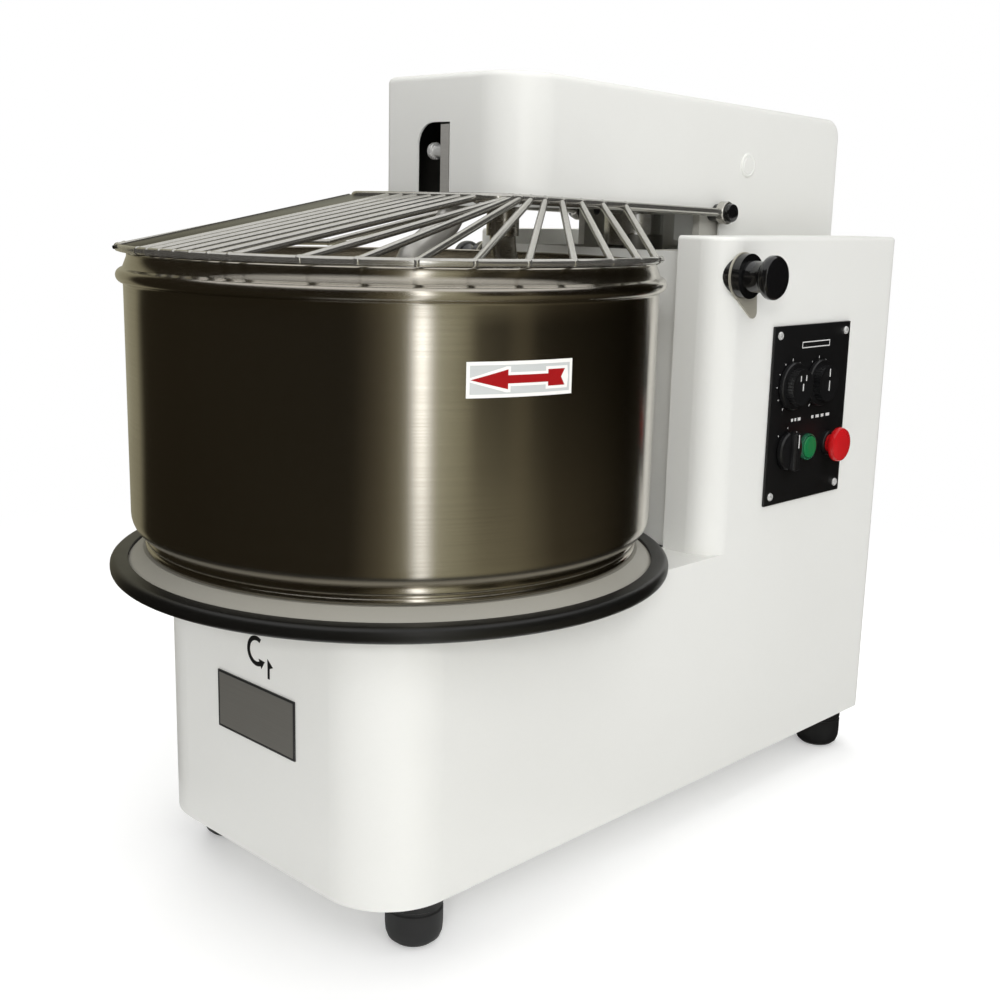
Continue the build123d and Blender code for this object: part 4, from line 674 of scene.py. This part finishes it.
# printed marks stand a hair off the panel: an empty frame, plain bars and scale ticks
marks = {"sunk": 0.05, "lift": 0.1, "tickHalf": 0.45, "longTick": 2.6, "shortTick": 1.6, "barZ": (389, 392),
         "frame": [(224, 466.2, 275, 467.2), (224, 460.8, 275, 461.8), (224, 461.8, 225, 466.2),
                   (274, 461.8, 275, 466.2)],
         "scales": [("timerLeft", 24.2, 300, 11), ("timerRight", 24.2, 300, 11), ("selector", 21.5, 90, 3)],
         "bars": [(213, 216.5), (219, 222), (225, 230), (250, 254), (258, 264), (268, 273), (277, 284)]}


def makeMarks(m):
    bm = bmesh.new()
    low = panel["face"] - m["sunk"]
    high = panel["face"] + m["lift"]
    for y0, z0, y1, z1 in m["frame"]:
        addTo(bm, softBox((low, y0, z0), (high, y1, z1), edge=0))
    for name, reach, sweep, count in m["scales"]:
        place = Matrix.Translation(Vector((panel["face"], *devices[name])) * mm)
        for index in range(count):
            angle = math.radians(-sweep / 2 + sweep * index / (count - 1))
            end = reach + (m["longTick"] if index % 5 == 0 else m["shortTick"])
            addTo(bm, softBox((-m["sunk"], -m["tickHalf"], reach), (m["lift"], m["tickHalf"], end), edge=0,
                              matrix=place @ Matrix.Rotation(angle, 4, "X")))
    for y0, y1 in m["bars"]:
        addTo(bm, softBox((low, y0, m["barZ"][0]), (high, y1, m["barZ"][1]), edge=0))
    putOut(bm, "panelMarks", "body", "whiteInk", slot="white_plastic")


makeMarks(marks)


def onPanel(name, section, steps, closed=False):
    return turned(section, (0, *devices[name]), axis=outX, steps=steps, closed=closed)


# timer knobs: skirt, ribbed grip with a dished crown, pointer strokes
timer = {"section": [(0, 143.5), (4, 143.5), (4, 167.5), (22.7, 167.5), (23.5, 168.3), (23.5, 171.2),
                     (22.6, 172.4), (19, 172.5), (0, 172.5)],
         "gripX": 176.1, "gripNear": 18.5, "gripFar": 17.9, "gripLength": 8.2, "ribs": 36, "rib": 0.55,
         "crownRim": 1.6, "crownRise": 0.3, "dishRim": 2.5, "dish": 0.5, "strokeX": (179.6, 180.45)}


def timerKnob(t, name, body, node, strokes):
    y, z = devices[name]
    knob = onPanel(name, t["section"], 60)
    grip = bmesh.new()
    addPrism(grip, (t["gripX"], y, z), t["ribs"], t["gripNear"], t["gripFar"], t["gripLength"])
    grip.normal_update()
    flanks = [f for f in grip.faces if abs(f.normal.x) < 0.5]
    bmesh.ops.inset_individual(grip, faces=flanks, thickness=t["rib"] * mm, depth=-t["rib"] * mm)
    grip.normal_update()
    crown = [f for f in grip.faces if f.normal.x > 0.9 and len(f.verts) > 8]
    bmesh.ops.inset_region(grip, faces=crown, thickness=t["crownRim"] * mm, depth=t["crownRise"] * mm)
    bmesh.ops.inset_region(grip, faces=crown, thickness=t["dishRim"] * mm, depth=-t["dish"] * mm)
    addTo(knob, grip)
    putOut(knob, name + "Knob", body, "blackPlastic", stands=[node], slot="black_plastic", sharpAt=28)
    line = bmesh.new()
    low, high = t["strokeX"]
    for y0, z0, y1, z1 in strokes:
        addTo(line, softBox((low, y + y0, z + z0), (high, y + y1, z + z1), edge=0.1, segments=1))
    putOut(line, name + "Line", body, "whiteInk", slot="white_plastic")


timerKnob(timer, "timerLeft", "timer_left", "timer_knob_left",
          [(-5.2, 6, -4.2, 11.5), (4.2, 6, 5.2, 11.5), (-0.6, -3.5, 0.6, 3.5)])
timerKnob(timer, "timerRight", "timer_right", "timer_knob_right", [(-0.6, 7, 0.6, 15), (-0.6, -7, 0.6, 3)])

# selector: round skirt with a grip bar and a pointer line
selector = {"section": [(0, 143.5), (4, 143.5), (4, 167.5), (18.2, 167.5), (19, 168.3), (19, 171.6),
                        (17.8, 173.3), (14, 174), (0, 174)],
            "barX": (170, 180.5), "barHalf": (4.5, 18.8), "lineX": (180.4, 180.6), "lineHalf": 0.8,
            "lineZ": (4, 17)}


def makeSelector(s):
    y, z = devices["selector"]
    halfY, halfZ = s["barHalf"]
    knob = onPanel("selector", s["section"], 52)
    addTo(knob, softBox((s["barX"][0], y - halfY, z - halfZ), (s["barX"][1], y + halfY, z + halfZ), edge=1.6,
                        segments=3))
    putOut(knob, "selectorKnob", "selector", "blackPlastic", stands=["selector_knob"], slot="black_plastic")
    line = softBox((s["lineX"][0], y - s["lineHalf"], z + s["lineZ"][0]),
                   (s["lineX"][1], y + s["lineHalf"], z + s["lineZ"][1]), edge=0)
    putOut(line, "selectorLine", "selector", "whiteInk", slot="white_plastic")


makeSelector(selector)

# push buttons with their bezels, and the switch bodies behind
buttons = {"startCap": [(0, 143.5), (4, 143.5), (4, 166.8), (11, 166.8), (11, 170.8), (10.4, 171.6), (9, 172),
                        (4, 171.7), (0, 171.6)],
           "startBezel": [(11.3, 166.5), (13.5, 166.5), (13.5, 169.3), (12.9, 170.3), (11.9, 170.5),
                          (11.3, 169.9)],
           "stopCap": [(0, 143.5), (4, 143.5), (4, 168.8), (9, 168.8), (9, 177.5), (15.5, 177.6), (17, 178.4),
                       (17.5, 180), (17.4, 182), (16.4, 184.4), (13.4, 186.1), (8, 186.45), (0, 186.5)],
           "stopBezel": [(9.3, 166.5), (12.5, 166.5), (12.5, 169.6), (11.8, 170.5), (9.3, 170.5)],
           "blockBack": 129.5, "blockHalf": 16, "stemHole": 4.3}


def makeButtons(b):
    putOut(onPanel("start", b["startCap"], 44), "startCap", "start", "greenPlastic", stands=["start_button"],
           slot="green_plastic")
    putOut(onPanel("start", b["startBezel"], 48, closed=True), "startBezel", "body", "greenRing",
           slot="green_plastic")
    putOut(onPanel("stop", b["stopCap"], 52), "stopMushroom", "stop", "redPlastic", stands=["stop_button"],
           slot="red_plastic")
    blocks = onPanel("stop", b["stopBezel"], 44, closed=True)
    half = b["blockHalf"]
    for y, z in devices.values():
        block = softBox((b["blockBack"], y - half, z - half), (panel["back"], y + half, z + half), edge=1.2)
        drill = bmesh.new()
        rodBetween(drill, (120, y, z), (170, y, z), b["stemHole"], sides=24)
        addTo(blocks, carved(block, drill))
    putOut(blocks, "switchBlocks", "body", "blackPlastic", stands=["switch_bodies"], slot="black_plastic")


makeButtons(buttons)
print("panel done")

# plate on the front of the base, left bare, with a dark rim
badge = {"low": (-49, -314.5, 149), "high": (58, -313, 200), "rim": 2.0, "step": 0.2}


def makeBadge(b):
    bm = softBox(b["low"], b["high"], edge=0.4, segments=2)
    bm.normal_update()
    front = [f for f in bm.faces if f.normal.y < -0.99]
    bmesh.ops.inset_region(bm, faces=front, thickness=b["rim"] * mm, depth=0.0)
    bmesh.ops.inset_region(bm, faces=front, thickness=b["step"] * mm, depth=-b["step"] * mm)
    for face in bm.faces:
        face.material_index = 1
    for face in front:
        face.material_index = 0
    putOut(bm, "frontPlate", "body", "badgeGrey", "badgeRim", stands=["badge_plate"], slot="grey_plate")


makeBadge(badge)

# turning sign over the plate: a curl with a tip, and a small flag
sign = {"place": (6.0, -313.0, 229.5), "radius": 13.0, "width": 4.0, "thickness": 0.12, "from": 60,
        "turn": 235, "lean": 25, "tip": [(0, -4.4), (7.5, 0), (0, 4.4)],
        "flag": [(15, -20), (18, -20), (18, -11), (22.5, -9), (15, -3)]}


def makeSign(s):
    inner = s["radius"] - s["width"]
    section = [(inner, 0), (s["radius"], 0), (s["radius"], s["thickness"]), (inner, s["thickness"])]
    bm = turned(section, (0, 0, 0), steps=30, closed=True, arc=math.radians(s["turn"]),
                start=math.radians(s["from"]))
    tip = flatShape(s["tip"], s["thickness"])
    end = math.radians(s["from"] + s["turn"])
    place = Vector((math.cos(end), math.sin(end), 0)) * (s["radius"] - s["width"] / 2) * mm
    lean = Matrix.Rotation(math.radians(s["lean"]), 4, "Z")
    bmesh.ops.transform(tip, matrix=Matrix.Translation(place) @ lean, verts=tip.verts[:])
    addTo(bm, tip)
    addTo(bm, flatShape(s["flag"], s["thickness"]))
    upright = Matrix.Rotation(math.radians(90), 4, "X")
    bmesh.ops.transform(bm, matrix=Matrix.Translation(Vector(s["place"]) * mm) @ upright, verts=bm.verts[:])
    putOut(bm, "turningSign", "body", "blackInk", slot="black_plastic")


makeSign(sign)

# feet, cable inlet and rear screws
feet = {"x": (132, -132), "y": (-250, 369),
        "section": [(0, 0), (12, 0), (17.5, 1.4), (21.6, 5.0), (23.4, 9.8), (24, 16), (24, 30), (22.6, 31),
                    (22.6, 33), (24, 34), (24, 45), (0, 45)]}
inlet = {"centre": (0, 338, 0), "section": [(4, 27), (6.4, 27), (8.6, 28.2), (9.4, 31), (9.4, 36), (11, 36.6),
                                            (11, 45), (4, 45)]}
rearScrew = {"x": (-136, 136), "y": 406, "z": (76, 454), "radius": 5.0, "height": 2.5}
footSet = bmesh.new()
for x in feet["x"]:
    for y in feet["y"]:
        addTo(footSet, turned(feet["section"], (x, y, 0), steps=44))
putOut(footSet, "rubberFeet", "body", "footRubber", stands=["rubber_feet"], slot="black_rubber")
putOut(turned(inlet["section"], inlet["centre"], steps=40, closed=True), "cableInlet", "body", "blackPlastic",
       stands=["cable_gland"], slot="black_plastic")
screwSet = bmesh.new()
for x in rearScrew["x"]:
    for z in rearScrew["z"]:
        screwHead(screwSet, (x, rearScrew["y"], z), outY, rearScrew["radius"], rearScrew["height"])
putOut(screwSet, "rearScrews", "body", "zincPlate", stands=["rear_cover_screws"], slot="zinc")
print("small parts done")


# studio: pale floor, white surround, cards that only gloss can see
def emptyTree(owner):
    owner.use_nodes = True
    owner.node_tree.nodes.clear()
    return owner.node_tree


def stageObject(bm, name):
    mesh = bpy.data.meshes.new(name)
    bm.to_mesh(mesh)
    bm.free()
    made = bpy.data.objects.new(name, mesh)
    scene.collection.objects.link(made)
    return made


pureWhite = (1, 1, 1, 1)
ground = {"size": 9.0, "tone": (0.9, 0.9, 0.895, 1), "lift": 0.25, "fadeFrom": 0.7, "fadeTo": 1.5}


# the floor runs out to white round the machine
def floorLook(g):
    look = bpy.data.materials.new("paleFloor")
    tree = emptyTree(look)
    out = addNode(tree, "ShaderNodeOutputMaterial")
    matte = addNode(tree, "ShaderNodeBsdfDiffuse", Color=g["tone"])
    glow = addNode(tree, "ShaderNodeEmission", Color=pureWhite)
    seen = addNode(tree, "ShaderNodeLightPath").outputs["Is Camera Ray"]
    both = addNode(tree, "ShaderNodeAddShader")
    spot = addNode(tree, "ShaderNodeTexCoord")
    away = addNode(tree, "ShaderNodeVectorMath", [("operation", "LENGTH")])
    fade = addNode(tree, "ShaderNodeMapRange", [("interpolation_type", "SMOOTHSTEP")], From_Min=g["fadeFrom"],
                   From_Max=g["fadeTo"])
    far = addNode(tree, "ShaderNodeEmission", Color=pureWhite, Strength=1.0)
    edge = mathIn(tree, "MULTIPLY", fade.outputs["Result"], seen)
    joined = addNode(tree, "ShaderNodeMixShader")
    joinUp(tree, (mathIn(tree, "MULTIPLY", seen, g["lift"]), glow.inputs["Strength"]),
           (matte.outputs[0], both.inputs[0]), (glow.outputs[0], both.inputs[1]),
           (spot.outputs["Object"], away.inputs[0]), (away.outputs["Value"], fade.inputs["Value"]),
           (edge, joined.inputs[0]), (both.outputs[0], joined.inputs[1]), (far.outputs[0], joined.inputs[2]),
           (joined.outputs[0], out.inputs["Surface"]))
    return look


grid = bmesh.new()
bmesh.ops.create_grid(grid, x_segments=2, y_segments=2, size=ground["size"])
floor = stageObject(grid, "floor")
floor.data.materials.append(floorLook(ground))

# surround: white to the camera, to gloss and through glass, softer as light
surround = {"soft": 0.41, "white": 1.0}
world = bpy.data.worlds.new("studio")
scene.world = world
world.cycles.sampling_method = "NONE"  # so gloss meets the cards, not the bare surround
tree = emptyTree(world)
out = addNode(tree, "ShaderNodeOutputWorld")
soft = addNode(tree, "ShaderNodeBackground", Color=pureWhite, Strength=surround["soft"])
white = addNode(tree, "ShaderNodeBackground", Color=pureWhite, Strength=surround["white"])
ray = addNode(tree, "ShaderNodeLightPath").outputs
direct = mathIn(tree, "MAXIMUM", ray["Is Camera Ray"], ray["Is Glossy Ray"])
shown = mathIn(tree, "MAXIMUM", direct, ray["Is Transmission Ray"])
choice = addNode(tree, "ShaderNodeMixShader")
joinUp(tree, (shown, choice.inputs[0]), (soft.outputs[0], choice.inputs[1]),
       (white.outputs[0], choice.inputs[2]), (choice.outputs[0], out.inputs["Surface"]))

# card round the bowl: dark to the camera's left, a bright gap, brown to its right, open behind
card = {"inner": 300, "radius": 2400, "low": 4, "high": 2600, "camera": -46.6, "wallFrom": 20,
        "wall": [(0.0, 0.6), (0.08, 0.36), (0.15, 0.30), (0.17, 0.024), (0.30, 0.024), (0.47, 0.016),
                 (0.487, 0.04), (0.505, 0.09), (0.53, 0.22), (0.537, 1.6), (0.541, 3.0), (0.547, 3.0),
                 (0.551, 1.4), (0.558, 0.50), (0.575, 0.42), (0.592, 0.28), (0.604, 0.05), (0.635, 0.02),
                 (0.648, 0.07), (0.662, 0.08), (0.675, 0.014), (0.83, 0.006), (0.915, 0.02), (0.945, 0.8)],
        "ground": [(0.0, 0.6), (0.08, 0.3), (0.15, 0.26), (0.17, 0.022), (0.30, 0.022), (0.47, 0.026),
                   (0.505, 0.11), (0.53, 0.26), (0.537, 0.9), (0.541, 1.5), (0.547, 1.5), (0.551, 0.9),
                   (0.558, 0.40), (0.585, 0.33), (0.61, 0.24), (0.65, 0.19), (0.70, 0.07), (0.83, 0.012),
                   (0.915, 0.02), (0.945, 0.8)],
        "greenLoss": 0.2, "blueLoss": 0.5}


# tone by the angle round the bowl, one ramp for the ground and one for the wall
def cardLook(c):
    look = bpy.data.materials.new("studioCard")
    tree = emptyTree(look)
    out = addNode(tree, "ShaderNodeOutputMaterial")
    shine = addNode(tree, "ShaderNodeEmission", Strength=1.0)
    where = addNode(tree, "ShaderNodeTexCoord")
    shift = addNode(tree, "ShaderNodeMapping", [("vector_type", "POINT")], Location=(0, -axisY * mm, 0))
    turn = addNode(tree, "ShaderNodeMapping", [("vector_type", "POINT")],
                   Rotation=(0, 0, math.radians(-c["camera"])))
    parts = addNode(tree, "ShaderNodeSeparateXYZ")
    angle = mathIn(tree, "ARCTAN2", parts.outputs["Y"], parts.outputs["X"])
    share = mathIn(tree, "MULTIPLY_ADD", angle, 1 / fullTurn, 0.5)
    upper = mathIn(tree, "GREATER_THAN", parts.outputs["Z"], c["wallFrom"] * mm)
    mix = addNode(tree, "ShaderNodeMix", [("data_type", "RGBA")])
    for tones, side in ((c["ground"], "A"), (c["wall"], "B")):
        ramp = addNode(tree, "ShaderNodeValToRGB")
        stops = ramp.color_ramp.elements
        while len(stops) < len(tones):
            stops.new(0.5)
        for stop, (at, level) in zip(stops, tones):
            warmth = max(0, 1 - level)  # the dark parts are brown
            green = level * (1 - c["greenLoss"] * warmth ** 3)
            blue = level * (1 - c["blueLoss"] * warmth)
            stop.position = at
            stop.color = (level, green, blue, 1)
        joinUp(tree, (share, ramp.inputs["Fac"]), (ramp.outputs["Color"], mix.inputs[side]))
    joinUp(tree, (where.outputs["Object"], shift.inputs["Vector"]), (shift.outputs[0], turn.inputs["Vector"]),
           (turn.outputs[0], parts.inputs[0]), (upper, mix.inputs["Factor"]),
           (mix.outputs["Result"], shine.inputs["Color"]), (shine.outputs[0], out.inputs["Surface"]))
    return look


cardEdge = [(card["inner"], card["low"]), (card["radius"], card["low"]), (card["radius"], card["high"])]
studioCard = stageObject(turned(cardEdge, bowl["centre"], steps=96), "studioCard")
studioCard.visible_camera = False
studioCard.visible_diffuse = False
studioCard.visible_shadow = False
studioCard.visible_transmission = False
studioCard.data.materials.append(cardLook(card))

lamps = [{"name": "keyLamp", "place": (3.2, -1.3, 2.6), "aim": (0.1, 0.0, 0.35), "size": 2.6, "power": 50},
         {"name": "topLamp", "place": (0.3, 0.2, 3.4), "aim": (0, 0, 0), "size": 3.0, "power": 44},
         {"name": "frontLamp", "place": (2.3, -2.9, 1.6), "aim": (0, 0, 0.3), "size": 0.6, "power": 38},
         {"name": "rearLamp", "place": (-3.0, 1.6, 2.2), "aim": (0, 0, 0.3), "size": 2.6, "power": 40}]
for each in lamps:
    light = bpy.data.lights.new(each["name"], "AREA")
    light.energy = each["power"]
    light.shape = "SQUARE"
    light.size = each["size"]
    lamp = bpy.data.objects.new(each["name"], light)
    aimed = (Vector(each["aim"]) - Vector(each["place"])).to_track_quat("-Z", "Y")
    lamp.matrix_world = Matrix.Translation(each["place"]) @ aimed.to_matrix().to_4x4()
    lamp.visible_glossy = False
    lamp.visible_camera = False
    scene.collection.objects.link(lamp)

# camera at the photo's place
view = {"place": (0.8704, -0.9208, 0.589), "azimuth": 44.57, "pitch": 12.19, "roll": 1.32, "lens": 47.96,
        "shift": (0.009, -0.0046), "sensor": 36, "clipEnd": 60}
az, pitch, roll = (math.radians(view[k]) for k in ("azimuth", "pitch", "roll"))
ahead = Vector((-math.sin(az) * math.cos(pitch), math.cos(az) * math.cos(pitch), -math.sin(pitch)))
level = Vector((math.cos(az), math.sin(az), 0))
upright = level.cross(ahead)
right = level * math.cos(roll) + upright * math.sin(roll)
top = upright * math.cos(roll) - level * math.sin(roll)
lens = bpy.data.cameras.new("photoView")
lens.sensor_width = view["sensor"]
lens.lens = view["lens"]
lens.shift_x, lens.shift_y = view["shift"]
lens.clip_end = view["clipEnd"]
camera = bpy.data.objects.new("photoView", lens)
camera.matrix_world = Matrix.Translation(view["place"]) @ Matrix((right, top, -ahead)).transposed().to_4x4()
scene.collection.objects.link(camera)
scene.camera = camera
scene.view_settings.view_transform = "Standard"
print("stage, lamps and camera set")
